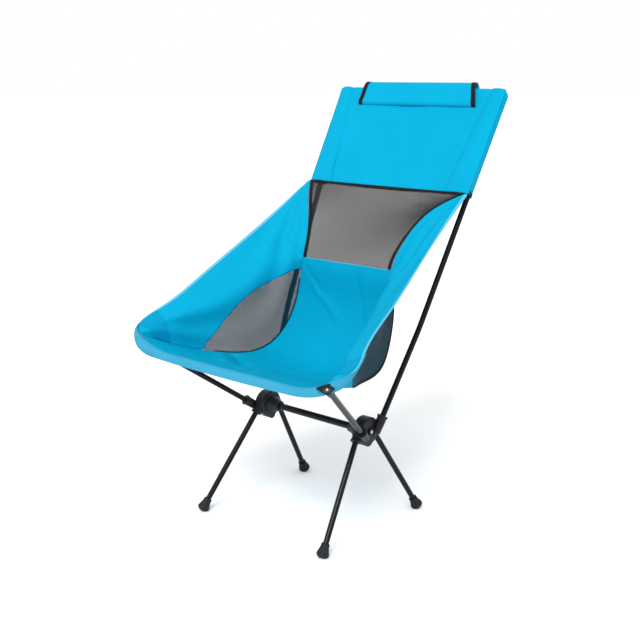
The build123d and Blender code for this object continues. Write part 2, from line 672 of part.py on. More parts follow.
sleeve_top = panel_height - SLEEVE_TOP_DROP
edge_lean = (TOP_HALF_WIDTH - mouth_half) / panel_height
sleeve_top_edge = mouth_half + edge_lean * sleeve_top - SLEEVE_EDGE_INSET
sleeve_ends = [
    sleeve_section(SLEEVE_MOUTH_RISE, mouth_half - SLEEVE_MOUTH_WIDTH, mouth_half - SLEEVE_EDGE_INSET),
    sleeve_section(sleeve_top, TOP_HALF_WIDTH - SLEEVE_TOP_WIDTH, sleeve_top_edge),
]
write_pair("pole_sleeve", loft(sleeve_ends))


def flap_outline(grow):
    """Closed outline of the headrest sleeve's fold, grown on all sides but the bottom."""
    front = -CLOTH_CLEARANCE - grow
    back = FLAP_BULGE + grow
    top = FLAP_RISE + (FLAP_BULGE + CLOTH_CLEARANCE) / 2 + grow
    fold = ThreePointArc((front, FLAP_RISE), ((front + back) / 2, top), (back, FLAP_RISE))
    sides = Polyline(
        (back, FLAP_RISE),
        (CLOTH + CLOTH_CLEARANCE + grow, -FLAP_DEPTH),
        (front, -FLAP_DEPTH),
        (front, FLAP_RISE),
    )
    return make_face([fold, sides])


def flap_band(inner, outer, start_x, width):
    """Part of the headrest sleeve between two outlines, from a start along X."""
    end = Plane(origin=panel_top + Vector(start_x, 0, 0), x_dir=panel_back, z_dir=(1, 0, 0))
    return extrude(end * (flap_outline(outer) - flap_outline(inner)), width)


write("headrest_sleeve", flap_band(0, CLOTH, -FLAP_HALF_WIDTH, FLAP_HALF_WIDTH * 2))
binding = flap_band(CLOTH, CLOTH + TAPE, FLAP_HALF_WIDTH - FLAP_BINDING_WIDTH, FLAP_BINDING_WIDTH)
write("headrest_end_bindings", binding, mirrored(binding))

# Moulded corner sockets and their rivets
corner_facing = Vector(*CORNER_FACING).normalized()
corner_along = Vector(0, 0, 1).cross(corner_facing).normalized()
tip_end = along(front_pole_tip, front_pole_up, TIP_HEAD_LENGTH)
cup_radius = TUBE_RADIUS + FIT_CLEARANCE
plate_plane = Plane(origin=tip_end, x_dir=corner_along, z_dir=corner_facing)
with BuildSketch(plate_plane) as plate_sketch:
    Polygon(*CORNER_PLATE, align=None)
    fillet(plate_sketch.vertices(), CORNER_PLATE_ROUND)
plate = extrude(plate_sketch.sketch, CORNER_PLATE_THICKNESS)
cup_start = along(front_pole_tip, front_pole_up, -CORNER_CUP_LENGTH)
cup_end = along(tip_end, front_pole_up, CORNER_PLATE_THICKNESS)
cup = rod(cup_start, cup_end, cup_radius + CORNER_CUP_WALL)
corner = plate + cup - rod(cup_start, along(tip_end, front_pole_up, FIT_CLEARANCE), cup_radius)
write_pair("corner_socket", corner)
rivet_top = along(tip_end, corner_facing, CORNER_PLATE_THICKNESS + RIVET_HEIGHT)
rivet_root = along(tip_end, corner_facing, CORNER_PLATE_THICKNESS / 2)
rivet = rod(rivet_root, rivet_top, RIVET_RADIUS) - corner
write("corner_rivets", rivet, mirrored(rivet))
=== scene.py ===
import json
import logging
import math
from dataclasses import dataclass, field
from enum import Enum
from typing import Callable, Dict, List, Optional, Sequence, Tuple, Union

import bpy
import numpy as np
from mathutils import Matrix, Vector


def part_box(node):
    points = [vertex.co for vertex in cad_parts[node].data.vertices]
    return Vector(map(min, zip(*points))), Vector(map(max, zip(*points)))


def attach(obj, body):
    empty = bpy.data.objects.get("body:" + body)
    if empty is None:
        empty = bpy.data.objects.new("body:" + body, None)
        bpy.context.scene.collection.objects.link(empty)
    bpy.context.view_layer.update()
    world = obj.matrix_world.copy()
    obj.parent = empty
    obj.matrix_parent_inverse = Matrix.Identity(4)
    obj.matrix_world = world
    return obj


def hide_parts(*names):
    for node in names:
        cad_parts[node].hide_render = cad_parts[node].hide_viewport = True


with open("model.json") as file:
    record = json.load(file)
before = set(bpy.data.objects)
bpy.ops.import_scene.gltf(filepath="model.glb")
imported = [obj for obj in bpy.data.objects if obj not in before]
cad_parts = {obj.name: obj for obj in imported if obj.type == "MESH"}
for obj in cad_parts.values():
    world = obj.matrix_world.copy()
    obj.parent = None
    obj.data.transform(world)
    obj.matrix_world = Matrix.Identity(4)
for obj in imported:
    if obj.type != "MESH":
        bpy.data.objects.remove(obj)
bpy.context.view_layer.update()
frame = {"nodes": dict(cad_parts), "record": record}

MM = 0.001
BODY = "frame"
LOG = logging.getLogger("camp_chair")
FLAT_MAP = "flat"
FULL_TURN = 2.0 * math.pi
X_WAY = np.array([1.0, 0.0, 0.0])
Z_WAY = np.array([0.0, 0.0, 1.0])
# a unit vector that rises by more than this counts as upright
STEEP = 0.9
# times a place, this is the place beside it at mid width
MID_WIDTH = np.array([0.0, 1.0, 1.0])
Array = np.ndarray
Material = bpy.types.Material
Pair = Tuple[float, float]
Place = Tuple[float, float, float]
Colour = Tuple[float, float, float]
Rows = Tuple[Tuple[float, ...], ...]
# start, end and count of evenly spaced values
Run = Tuple[float, float, int]
# a stitched line and the normals along it
Seam = Tuple[Array, Array]
Value = Union[float, "Sock"]


class Side(Enum):
    """The two mirrored halves of the chair."""

    LEFT = 1.0
    RIGHT = -1.0

    def node(self, name: str) -> str:
        """Name of a CAD node of this half."""
        return f"{self.name.lower()}_{name}"


class Hold(Enum):
    """How a cloth piece is held."""

    STRETCHED = "stretched"
    FOLDED = "folded"


def both(name: str) -> Tuple[str, ...]:
    """Names of a CAD node of the left and of the right half."""
    return tuple(side.node(name) for side in Side)


# Shaders


def operator(operation: str, reflected: bool = False) -> Callable[["Sock", Value], "Sock"]:
    """Makes an operator that adds a Math node.

    Args:
        operation: The Math node's operation.
        reflected: Whether the other value comes first.

    Returns:
        The operator, for the class of wrapped sockets.
    """

    def method(self: "Sock", other: Value) -> "Sock":
        """Math node of the socket and another value."""
        values = (other, self) if reflected else (self, other)
        return self.math(operation, *values)

    return method


class Sock:
    """A shader value: arithmetic on it adds Math nodes to its graph."""

    __add__ = operator("ADD")
    __radd__ = operator("ADD", reflected=True)
    __sub__ = operator("SUBTRACT")
    __rsub__ = operator("SUBTRACT", reflected=True)
    __mul__ = operator("MULTIPLY")
    __rmul__ = operator("MULTIPLY", reflected=True)
    __truediv__ = operator("DIVIDE")
    __rtruediv__ = operator("DIVIDE", reflected=True)

    def __init__(self, graph: "Graph", socket: Optional[bpy.types.NodeSocket]) -> None:
        """Keeps the graph and the socket that is wrapped, if there is one."""
        self.graph = graph
        self.socket = socket

    def math(self, operation: str, *values: Value) -> "Sock":
        """Math node of an operation on some values."""
        return self.graph.node("ShaderNodeMath", {"operation": operation}, dict(enumerate(values)))

    def wave(self, period: float) -> "Sock":
        """Sine of the value with a period."""
        return self.math("SINE", self * (FULL_TURN / period))

    def step(self, low: float, high: float) -> "Sock":
        """Smooth step from 0 at a low value to 1 at a high one."""
        inputs = {0: self, 1: low, 2: high, 3: 0.0, 4: 1.0}
        return self.graph.node("ShaderNodeMapRange", {"interpolation_type": "SMOOTHSTEP"}, inputs)


class Graph:
    """The node tree of one material."""

    def __init__(self, name: str) -> None:
        """Starts a material with an empty tree.

        Args:
            name: The material's name.
        """
        self.material = bpy.data.materials.new(name)
        self.material.use_nodes = True
        self.tree = self.material.node_tree
        self.tree.nodes.clear()

    def node(
        self,
        kind: str,
        settings: Optional[dict] = None,
        inputs: Optional[dict] = None,
        out: Union[int, str] = 0,
    ) -> Sock:
        """Adds a node.

        Args:
            kind: The node's type.
            settings: Attributes that are set first, such as a Math node's operation.
            inputs: Values or links of its sockets, by name or number.
            out: The output that is wrapped.

        Returns:
            The wrapped output, which is empty where the node has none.
        """
        item = self.tree.nodes.new(kind)
        for key, value in (settings or {}).items():
            setattr(item, key, value)
        for key, value in (inputs or {}).items():
            if isinstance(value, Sock):
                self.tree.links.new(value.socket, item.inputs[key])
            else:
                item.inputs[key].default_value = value
        return Sock(self, item.outputs[out] if len(item.outputs) else None)

    def mix(self, share: Sock, first: Colour, second: Colour) -> Sock:
        """Colour between a first and a second one."""
        inputs = {0: share, 6: (*first, 1.0), 7: (*second, 1.0)}
        return self.node("ShaderNodeMix", {"data_type": "RGBA"}, inputs, 2)

    def place(self) -> Sock:
        """Object coordinates."""
        return self.node("ShaderNodeTexCoord", out="Object")

    def noise(self, scale: float, detail: float, where: Optional[Sock] = None) -> Sock:
        """Noise value at a place, by default at the object coordinates."""
        where = where or self.place()
        return self.node("ShaderNodeTexNoise", None, {"Vector": where, "Scale": scale, "Detail": detail})

    def uv(self) -> Tuple[Sock, Sock]:
        """The two metres of a piece's own flat map.

        Returns:
            The map's two coordinates.
        """
        where = self.node("ShaderNodeUVMap", {"uv_map": FLAT_MAP})
        parts = self.node("ShaderNodeSeparateXYZ", None, {0: where})
        return parts, Sock(self, parts.socket.node.outputs[1])

    def bump(self, height: Sock, distance: float) -> Sock:
        """Normal of a relief: a height times a distance in metres."""
        return self.node("ShaderNodeBump", None, {"Height": height, "Distance": distance, "Strength": 1.0})

    def surface(self, **inputs: Union[float, Colour, Sock]) -> Material:
        """Closes the graph with a Principled shader.

        Args:
            inputs: Its sockets, with underscores for spaces.

        Returns:
            The finished material.
        """
        sockets = {name.replace("_", " "): value for name, value in inputs.items()}
        shader = self.node("ShaderNodeBsdfPrincipled", None, sockets)
        self.node("ShaderNodeOutputMaterial", None, {"Surface": shader})
        return self.material


@dataclass(frozen=True)
class Finish:
    """A material that varies between its colour and another one."""

    name: str
    colour: Colour
    other: Colour


@dataclass(frozen=True)
class WovenCloth(Finish):
    """Plain-woven coated polyester: crossed threads, soft mottling, little shine."""

    thread: float = 0.9 * MM
    rough: float = 0.68
    shine: float = 0.04
    # noise scales of thick spots in the yarn, of the mottling and of fine creases
    slubs: float = 900.0
    clouds: float = 14.0
    creases: float = 60.0
    relief: float = 1.0 * MM

    def material(self) -> Material:
        """Builds the material: the weave is the product of two sines along the cloth's own map.

        Returns:
            The material.
        """
        g = Graph(self.name)
        u, v = g.uv()
        weave = u.wave(self.thread) * v.wave(self.thread)
        slub = g.noise(self.slubs, 1.0)
        cloud = g.noise(self.clouds, 3.0)
        crease = g.noise(self.creases, 2.0)
        # the weave term makes the colour darker between the threads and lighter on their crowns: painted
        # shade and highlight; the cloud and slub terms are random tone
        share = (cloud - 0.5) * 0.7 + (slub - 0.5) * 0.5 + weave * 0.08 + 0.55
        return g.surface(
            Base_Color=g.mix(share.step(0.0, 1.0), self.other, self.colour),
            Roughness=(cloud - 0.5) * 0.12 + self.rough,
            Normal=g.bump(weave * 0.05 + crease * 0.35, self.relief),
            Specular_IOR_Level=self.shine,
        )


@dataclass(frozen=True)
class OpenNet(Finish):
    """Knitted net: staggered round holes between dark yarns."""

    pitch: float = 2.2 * MM
    # radius of a hole and half the width of its soft border, as shares of the pitch
    hole: float = 0.245
    soft: float = 0.05
    fluff: float = 700.0
    shine: float = 0.15
    relief: float = 0.5 * MM

    def material(self) -> Material:
        """Builds the material: a hole is where the distance from a staggered cell's middle is small.

        Returns:
            The material.
        """
        g = Graph(self.name)
        u, v = g.uv()
        down = v / self.pitch
        row = down.math("FLOOR", down)
        across = u / self.pitch + row.math("PINGPONG", row, 1.0) * 0.5
        x = across.math("FRACT", across) - 0.5
        y = down.math("FRACT", down) - 0.5
        off = x * x + y * y
        gap = off.math("SQRT", off)
        strand = g.noise(self.fluff, 1.0)
        return g.surface(
            Base_Color=g.mix(strand, self.colour, self.other),
            Roughness=strand * 0.2 + 0.55,
            Alpha=gap.step(self.hole - self.soft, self.hole + self.soft),
            Specular_IOR_Level=self.shine,
            Normal=g.bump(gap, self.relief),
        )


@dataclass(frozen=True)
class RibbedTape(Finish):
    """Woven binding tape: fine ribs across its length."""

    rib: float = 1.1 * MM
    fluff: float = 500.0
    shine: float = 0.12
    relief: float = 0.15 * MM

    def material(self) -> Material:
        """Builds the material: ribs are a sine along the tape's own map.

        Returns:
            The material.
        """
        g = Graph(self.name)
        u, v = g.uv()
        ribs = v.wave(self.rib) * 0.5 + 0.5
        fluff = g.noise(self.fluff, 2.0)
        return g.surface(
            Base_Color=g.mix(ribs * 0.5 + fluff * 0.4, self.colour, self.other),
            Roughness=fluff * 0.2 + 0.6,
            Normal=g.bump(ribs + u.wave(self.rib * 2.0) * 0.15, self.relief),
            Specular_IOR_Level=self.shine,
        )


@dataclass(frozen=True)
class AnodisedTube(Finish):
    """Black anodised drawn tube: satin, with faint cloudy wear."""

    clouds: float = 26.0
    scuffs: float = 240.0
    shine: float = 0.16
    relief: float = 0.05 * MM

    def material(self) -> Material:
        """Builds the material: wear and roughness follow noise on the tube.

        Returns:
            The material.
        """
        g = Graph(self.name)
        cloud = g.noise(self.clouds, 4.0)
        scuff = g.noise(self.scuffs, 3.0).step(0.62, 0.8)
        return g.surface(
            Base_Color=g.mix(cloud * 0.5 + scuff * 0.3, self.colour, self.other),
            Roughness=cloud * 0.14 + scuff * 0.1 + 0.14,
            Specular_IOR_Level=self.shine,
            Normal=g.bump(cloud + scuff * 0.2, self.relief),
        )


@dataclass(frozen=True)
class Moulded(Finish):
    """Moulded plastic or rubber with a fine grain."""

    rough: float
    grain: float = 1600.0
    dust: float = 40.0
    shine: float = 0.22
    relief: float = 0.06 * MM

    def material(self) -> Material:
        """Builds the material: the grain is fine noise, the dust is coarse noise.

        Returns:
            The material.
        """
        g = Graph(self.name)
        grain = g.noise(self.grain, 2.0)
        dust = g.noise(self.dust, 4.0)
        return g.surface(
            Base_Color=g.mix(dust * 0.6 + grain * 0.3, self.colour, self.other),
            Roughness=(dust - 0.5) * 0.2 + self.rough,
            Specular_IOR_Level=self.shine,
            Normal=g.bump(grain, self.relief),
        )


@dataclass(frozen=True)
class BareMetal(Finish):
    """Plated or drawn bare metal with brushed streaks."""

    streaks: Place = (900.0, 900.0, 90.0)
    relief: float = 0.02 * MM

    def material(self) -> Material:
        """Builds the material: streaks are stretched noise.

        Returns:
            The material.
        """
        g = Graph(self.name)
        where = g.node("ShaderNodeMapping", None, {"Vector": g.place(), "Scale": self.streaks})
        streak = g.noise(1.0, 2.0, where)
        return g.surface(
            Base_Color=g.mix(streak, self.colour, self.other),
            Roughness=streak * 0.2 + 0.22,
            Metallic=1.0,
            Normal=g.bump(streak, self.relief),
        )


@dataclass(frozen=True)
class BraidedCord(Finish):
    """Braided sheath of a shock cord with light flecks."""

    pick: float = 1.4 * MM
    # length of a fleck's repeat, in picks
    repeat: float = 6.0
    fuzz: float = 900.0
    relief: float = 0.2 * MM

    def material(self) -> Material:
        """Builds the material: the braid is the product of two slanted sines on the cord's map.

        Returns:
            The material.
        """
        g = Graph(self.name)
        u, v = g.uv()
        braid = (u + v).wave(self.pick) * (u - v).wave(self.pick)
        fleck = (u * 0.5 + v).wave(self.pick * self.repeat).step(0.8, 0.95)
        fuzz = g.noise(self.fuzz, 2.0)
        return g.surface(
            Base_Color=g.mix(fleck * 0.8 + braid * 0.1 + fuzz * 0.2, self.colour, self.other),
            Roughness=braid * 0.1 + 0.7,
            Normal=g.bump(braid, self.relief),
        )


# Meshes


def curve(points: Array, share: Array, knots: Optional[Array] = None) -> Array:
    """Smooth line through points: a natural cubic spline.

    Args:
        points: Points that the line passes through, one per row.
        share: Places along the line, from 0 to 1, of any shape.
        knots: The points' own shares; without them, those of the chord length.

    Returns:
        The line's points, with the shape of share and one more axis.
    """
    knots = knot_shares(points) if knots is None else knots
    gap = np.diff(knots)
    count = len(knots)
    slope = np.diff(points, axis=0) / gap[:, None]
    system = np.eye(count)
    inner = np.arange(1, count - 1)
    system[inner, inner - 1] = gap[:-1]
    system[inner, inner] = 2.0 * (gap[:-1] + gap[1:])
    system[inner, inner + 1] = gap[1:]
    right = np.zeros_like(points)
    right[1:-1] = 6.0 * np.diff(slope, axis=0)
    bend = np.linalg.solve(system, right)
    cell = np.clip(np.searchsorted(knots, share, side="right") - 1, 0, count - 2)
    left = (share - knots[cell])[..., None]
    back = (knots[cell + 1] - share)[..., None]
    size = gap[cell][..., None]
    return (
        (bend[cell] * back**3 + bend[cell + 1] * left**3) / (6.0 * size)
        + (points[cell] / size - bend[cell] * size / 6.0) * back
        + (points[cell + 1] / size - bend[cell + 1] * size / 6.0) * left
    )


def lengths(points: Array) -> Array:
    """Lengths along a line of points, from its first point to each one."""
    return np.concatenate([[0.0], np.cumsum(np.linalg.norm(np.diff(points, axis=0), axis=1))])


def knot_shares(points: Array) -> Array:
    """Shares of the whole chord length at each of a line's points."""
    reach = lengths(points)
    return reach / reach[-1]


def between(start: Array, end: Array, share: Array) -> Array:
    """Values at shares of the way from a start to an end."""
    return start + (end - start) * share


def unit(vectors: Array) -> Array:
    """Vectors of length one."""
    return vectors / np.maximum(np.linalg.norm(vectors, axis=-1, keepdims=True), 1e-12)


def normals(grid: Array) -> Array:
    """Unit normals of a grid of points: the cross product of its two runs."""
    return unit(np.cross(np.gradient(grid, axis=0), np.gradient(grid, axis=1)))


def inside(grid: Array, axis: int = 0) -> Array:
    """Unit normals that point up and against an axis: X on the left wing, Y on the seat and back."""
    square = normals(grid)
    return square * np.sign(square[..., 2:] - square[..., axis : axis + 1])


def raised(grid: Array, height: float, axis: int = 0) -> Array:
    """Grid moved along its inside normals by a height in millimetres."""
    return grid + inside(grid, axis) * height * MM


def mirrored(grid: Array) -> Array:
    """The same points on the other side of the chair."""
    return grid * np.array([-1.0, 1.0, 1.0])


def mesh_grid(first: Run, second: Run) -> Tuple[Array, Array]:
    """Two runs of evenly spaced values as grids whose rows follow the first one."""
    return tuple(np.meshgrid(np.linspace(*first), np.linspace(*second), indexing="ij"))


def flat_map(grid: Array) -> Array:
    """Flat map of a grid in metres: lengths along its middle column and along each row.

    Args:
        grid: Points of rows and columns.

    Returns:
        The two flat coordinates of each point.
    """
    rows, cols = grid.shape[:2]
    across = np.linalg.norm(np.diff(grid, axis=1), axis=2)
    v = lengths(grid[:, cols // 2])[:, None] * np.ones((1, cols))
    u = np.concatenate([np.zeros((rows, 1)), np.cumsum(across, axis=1)], axis=1)
    u = u - u[:, cols // 2][:, None]
    return np.stack([u, v], axis=-1)


def cell_areas(grid: Array) -> Array:
    """Areas of a grid's cells: half the length of the cross product of their diagonals.

    Args:
        grid: Points of rows and columns.

    Returns:
        One area for each cell.
    """
    first = grid[1:, 1:] - grid[:-1, :-1]
    second = grid[1:, :-1] - grid[:-1, 1:]
    return 0.5 * np.linalg.norm(np.cross(first, second), axis=-1)


def turns(count: int) -> Array:
    """Angles of evenly spaced points round a circle."""
    return np.linspace(0.0, FULL_TURN, count, endpoint=False)


def square_to(way: Array) -> Tuple[Array, Array]:
    """Two unit vectors that are square to each direction and to each other.

    Args:
        way: Unit directions.

    Returns:
        The first and the second vectors.
    """
    steep = np.abs(way[..., 2:]) >= STEEP
    first = unit(np.cross(way, np.where(steep, X_WAY, Z_WAY)))
    return first, np.cross(way, first)


def tube_grid(line: Array, radius: float, sides: int) -> Array:
    """Tube round a straight line: a circle carried along it, square to the line.

    Args:
        line: Points of the line.
        radius: The tube's radius.
        sides: Points round the tube.

    Returns:
        The grid of points.
    """
    first, second = square_to(unit(line[-1] - line[0]))
    angle = turns(sides)[:, None]
    return line[:, None] + radius * (np.cos(angle) * first + np.sin(angle) * second)


def flat_loop(count: int, blunt: float = 0.35) -> Array:
    """Flat rounded loop: a run from 0 to 1, and a sine from -1 to 1, blunted by a power, for its faces.

    Args:
        count: Points round the loop.
        blunt: That power.

    Returns:
        The run and the face of each point.
    """
    angle = turns(count)
    rise = np.sign(np.sin(angle)) * np.abs(np.sin(angle)) ** blunt
    return np.column_stack([0.5 * (1.0 - np.cos(angle)), rise])


def pinched(grid: Array, share: float) -> Array:
    """Grid of a tube with one more row at each end: the end row shrunk to a share of its size.

    Args:
        grid: Points of rows and columns.
        share: That share.

    Returns:
        The longer grid.
    """
    ends = grid[[0, -1]]
    centre = ends.mean(axis=1, keepdims=True)
    ends = between(centre, ends, share)
    return np.concatenate([ends[:1], grid, ends[1:]])


def wrap(centre: Array, start: Array, end: Array, radius: float) -> Array:
    """Line from a start, touching a circle, round its far side and on to an end.

    Args:
        centre: The circle's middle.
        start: Where the line begins, at smaller x.
        end: Where it ends, at larger x.
        radius: The circle's radius.

    Returns:
        Points of the line.
    """
    angles = []
    for point, turn in ((start, -1.0), (end, 1.0)):
        away = point - centre
        angles.append(math.atan2(away[1], away[0]) + turn * math.acos(radius / np.linalg.norm(away)))
    arc = np.linspace(angles[0] % FULL_TURN, angles[1], 25)
    touch = centre + radius * np.column_stack([np.cos(arc), np.sin(arc)])
    share = np.linspace(0.0, 1.0, 10)[:, None]
    return np.concatenate([between(start, touch[0], share[:-1]), touch, between(touch[-1], end, share[1:])])


def outward(grid: Array) -> Array:
    """Grid of a closed tube, its columns turned round where its faces enclose a negative volume.

    Args:
        grid: Points of rows and columns.

    Returns:
        The grid whose faces look outward.
    """
    ring = np.concatenate([grid, grid[:, :1]], axis=1) - grid.mean(axis=(0, 1))
    first, second = ring[1:, 1:] - ring[:-1, :-1], ring[:-1, 1:] - ring[1:, :-1]
    return grid if np.sum(ring[:-1, :-1] * np.cross(first, second)) > 0.0 else grid[:, ::-1]


class Piece:
    """A mesh object on a grid of points, finished with a material."""

    def __init__(
        self,
        name: str,
        grid: Array,
        material: Material,
        slot: str,
        closed: bool = False,
        capped: bool = False,
    ) -> None:
        """Makes the object.

        Args:
            name: The piece's name.
            grid: Points of rows and columns, in metres.
            material: Its finish.
            slot: The record's material slot.
            closed: Whether the last column joins the first one.
            capped: Whether it is a closed tube whose first and last rows are shut by a face.
        """
        grid = outward(grid) if capped else grid
        rows, cols = grid.shape[:2]
        index = np.arange(rows * cols).reshape(rows, cols)
        spread = grid
        if closed:
            index = np.hstack([index, index[:, :1]])
            spread = np.concatenate([grid, grid[:, :1]], axis=1)
        mapped = flat_map(spread)
        corners = [np.s_[:-1, :-1], np.s_[1:, :-1], np.s_[1:, 1:], np.s_[:-1, 1:]]
        quads = np.stack([index[c] for c in corners], axis=-1).reshape(-1, 4)
        uvs = np.stack([mapped[c] for c in corners], axis=2).reshape(-1, 2)
        faces = quads.tolist()
        if capped:
            faces += [index[0, :-1].tolist(), index[-1, -2::-1].tolist()]
            uvs = np.concatenate([uvs, np.zeros((2 * cols, 2))])
        mesh = bpy.data.meshes.new(name)
        mesh.from_pydata(grid.reshape(-1, 3).tolist(), [], faces)
        mesh.uv_layers.new(name=FLAT_MAP).data.foreach_set("uv", uvs.ravel())
        mesh.polygons.foreach_set("use_smooth", np.ones(len(faces), dtype=bool))
        mesh.materials.append(material)
        mesh.update()
        self.area = float(np.sum(cell_areas(spread)))
        self.flat = (float(np.ptp(mapped[..., 0])), float(np.ptp(mapped[..., 1])))
        self.enter(name, mesh, slot)

    def enter(self, name: str, mesh: bpy.types.Mesh, slot: str) -> None:
        """Puts the mesh into the scene as an object that rides on the frame.

        Args:
            name: The piece's name.
            mesh: Its mesh.
            slot: Not used.
        """
        self.object = bpy.data.objects.new(name, mesh)
        bpy.context.scene.collection.objects.link(self.object)
        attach(self.object, BODY)
        LOG.info("made %s", name)

    @classmethod
    def of_mesh(cls, name: str, mesh: bpy.types.Mesh, slot: str) -> "Piece":
        """Piece of a mesh that is already made.

        Args:
            name: The piece's name.
            mesh: Its mesh.
            slot: The record's material slot.

        Returns:
            The piece.
        """
        piece = cls.__new__(cls)
        piece.enter(name, mesh, slot)
        return piece

    def thicken(self, thickness: float, offset: float = 0.0) -> "Piece":
        """Gives the sheet a thickness; an offset of 1 puts it all on the normals' side.

        Args:
            thickness: The thickness in metres.
            offset: The side that it is on, from -1 to 1.

        Returns:
            The piece itself.
        """
        solid = self.object.modifiers.new("thickness", "SOLIDIFY")
        solid.thickness = thickness
        solid.offset = offset
        solid.use_even_offset = False
        return self

    def replaces(self, *nodes: str) -> "Piece":
        """Hides the CAD nodes that this piece stands for."""
        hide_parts(*nodes)
        return self


# Sling


@dataclass(frozen=True)
class Crease:
    """A soft ridge, or a hollow where its height is negative, along a line of a surface's two shares."""

    start: Pair
    end: Pair
    height: float
    width: float
    # millimetres along and across the surface for one whole share
    span: Pair = (820.0, 220.0)

    def lift(self, first: Array, second: Array) -> Array:
        """Height in metres: it falls off with the square of the distance from the line.

        Args:
            first: First shares of the surface's points.
            second: Second shares.

        Returns:
            Heights of the same shape.
        """
        span = np.array(self.span)
        start = np.array(self.start) * span
        way = np.array(self.end) * span - start
        place = np.stack([first * span[0], second * span[1]], axis=-1) - start
        part = np.clip(place @ way / (way @ way), 0.0, 1.0)[..., None]
        gap = np.sum((place - part * way) ** 2, axis=-1)
        return self.height * MM * np.exp(-gap / self.width**2)


@dataclass
class Sling:
    """The sewn sling: seat, wings, net windows, front rim, upper back, pole sleeves and headrest."""

    crossbar_y: float
    cloth: Material
    # finish of the corner linings: a darker copy of the cloth, painted shade
    shade_painted_inner_cloth: Material
    # finish of the front rim: a lighter, whiter copy of the cloth, painted sheen
    rim_cloth: Material
    # finish of the wings' folded edges: a lighter copy of the cloth, a painted highlight
    edge_cloth: Material
    net: Material
    # finish of the side windows' net: its yarn is tinted blue, the painted light of the blue cloth seen
    # through it
    window_net: Material
    tape: Material
    thickness: float = 1.2
    net_thickness: float = 0.4
    tape_thickness: float = 0.9
    # half width, reach and height of the side seam, then reach and height of the middle line
    seat_rows: Rows = (
        (285.0, -272.0, 432.0, -275.0, 401.5),
        (262.0, -217.0, 404.0, -220.0, 385.0),
        (218.0, -125.0, 373.0, -124.0, 360.0),
        (182.0, -52.0, 360.0, -50.0, 348.0),
        (168.0, 28.0, 369.0, 35.0, 360.0),
        (152.0, 85.0, 430.0, 92.0, 426.0),
        (142.0, 106.0, 510.0, 110.0, 509.0),
        (134.0, 110.0, 575.0, 111.0, 574.5),
        (145.0, 139.0, 636.0, 157.4, 636.0),
        (180.5, 181.0, 700.0, 220.7, 699.6),
        (233.0, 248.0, 742.0, 252.8, 741.5),
    )
    # row of the waist, where the seat's cloth ends and the back net starts
    waist_row: int = 7
    # the bow across the seat: its power at the front edge, and how fast that falls to 2 along the seam
    front_power: float = 8.0
    front_fade: float = 0.10
    # free edge of the left wing, and the point of it where the front rim ends
    wing_edge: Rows = (
        (292.0, -271.0, 436.0),
        (314.0, -250.0, 447.0),
        (304.0, -193.0, 478.0),
        (284.0, -86.0, 539.0),
        (257.0, 81.0, 640.0),
        (239.0, 245.0, 740.0),
    )
    rim_row: int = 2
    # front rim from the left wing's edge round the corner to mid width: its upper and its lower line
    rim_top: Rows = (
        (302.5, -193.0, 474.0),
        (313.0, -230.0, 457.5),
        (314.5, -250.0, 447.5),
        (306.0, -263.0, 441.0),
        (292.0, -270.5, 435.0),
        (271.0, -273.2, 423.0),
        (250.0, -274.6, 414.6),
        (229.0, -275.2, 408.2),
        (157.0, -275.2, 403.0),
        (79.0, -275.2, 402.5),
    )
    rim_low: Rows = (
        (301.0, -192.0, 468.0),
        (309.0, -231.0, 440.0),
        (308.0, -249.0, 428.0),
        (301.0, -259.0, 417.0),
        (287.0, -267.0, 408.0),
        (269.0, -276.0, 400.0),
        (250.0, -280.0, 394.0),
        (229.0, -282.0, 389.5),
        (157.0, -283.5, 385.0),
        (79.0, -284.0, 384.0),
    )
    rim_thickness: float = 2.4
    rim_roll: float = 2.0
    # the right corner bags over its socket: extra roll, drop and rise, their place across and its spread
    corner_bag: Place = (20.0, 8.0, 9.0)
    bag_place: Pair = (-266.0, 36.0)
    # where in its half sine the bagging roll starts, and how blunt it is
    bag_start: float = 0.27
    bag_power: float = 0.65
    # share of the rise that the rim's inner face takes part in
    inner_rise: float = 0.4
    # steps from the front corner to the waist, and those where the side window starts and ends
    seat_steps: int = 18
    window_steps: Tuple[int, int] = (5, 17)
    # first step of the corner lining, and its last ones at the seam and at the free edge
    patch_steps: Place = (1.0, 2.4, 3.6)
    # shares of the wing's width between which the lining lies
    patch_sides: Pair = (0.03, 0.97)
    # the window's greatest share of the wing's width, and the power that flattens its bow
    window_share: float = 0.52
    window_bow: float = 0.7
    # roundness of the wing along its taut line, as a share of its width: less where the wall is low
    taut_round: float = 0.07
    round_grow: float = 4.0
    round_least: float = 0.02
    fold_height: float = 4.6
    fold_count: float = 2.4
    # how far the folds drift along the wing, and how fast; then the power by which they fade at its ends
    fold_drift: Pair = (0.35, 4.0)
    fold_fade: float = 0.7
    # how far a net reaches under the cloth round it, and how far outside the cloth it lies
    net_lap: float = 3.0
    net_drop: float = 0.9
    # half width of the back net as a share of the seat's
    net_half: float = 1.01
    # shares of the wing's width at a line inside the edge and at the edge, which give the fold's plane
    edge_lines: Run = (0.9, 1.0, 2)
    edge_width: float = 8.0
    # share of the width at which the edge's fold starts, and share of the edge over which it grows
    edge_start: float = 0.2
    edge_grow: float = 0.2
    # how far the fold stands out past the wing's edge
    edge_over: float = 1.0
    edge_thickness: float = 2.6
    # size of a folded edge's end rows as a share of the next ones
    pinch: float = 0.02
    creases: Tuple[Crease, ...] = (
        Crease((0.27, -0.92), (0.19, -0.42), -6.5, 12.0),
        Crease((0.24, -0.98), (0.15, -0.55), 3.5, 12.0),
        Crease((0.04, 0.18), (0.287, -0.26), 3.2, 10.0),
        Crease((0.33, 0.14), (0.25, 0.06), -3.5, 16.0),
        Crease((0.30, 0.80), (0.10, 0.55), 2.6, 15.0),
        Crease((0.62, -0.70), (0.53, -0.10), 2.6, 11.0),
        Crease((0.67, -0.90), (0.60, -0.50), -2.2, 10.0),
        Crease((0.66, 0.25), (0.50, 0.45), -2.0, 16.0),
    )
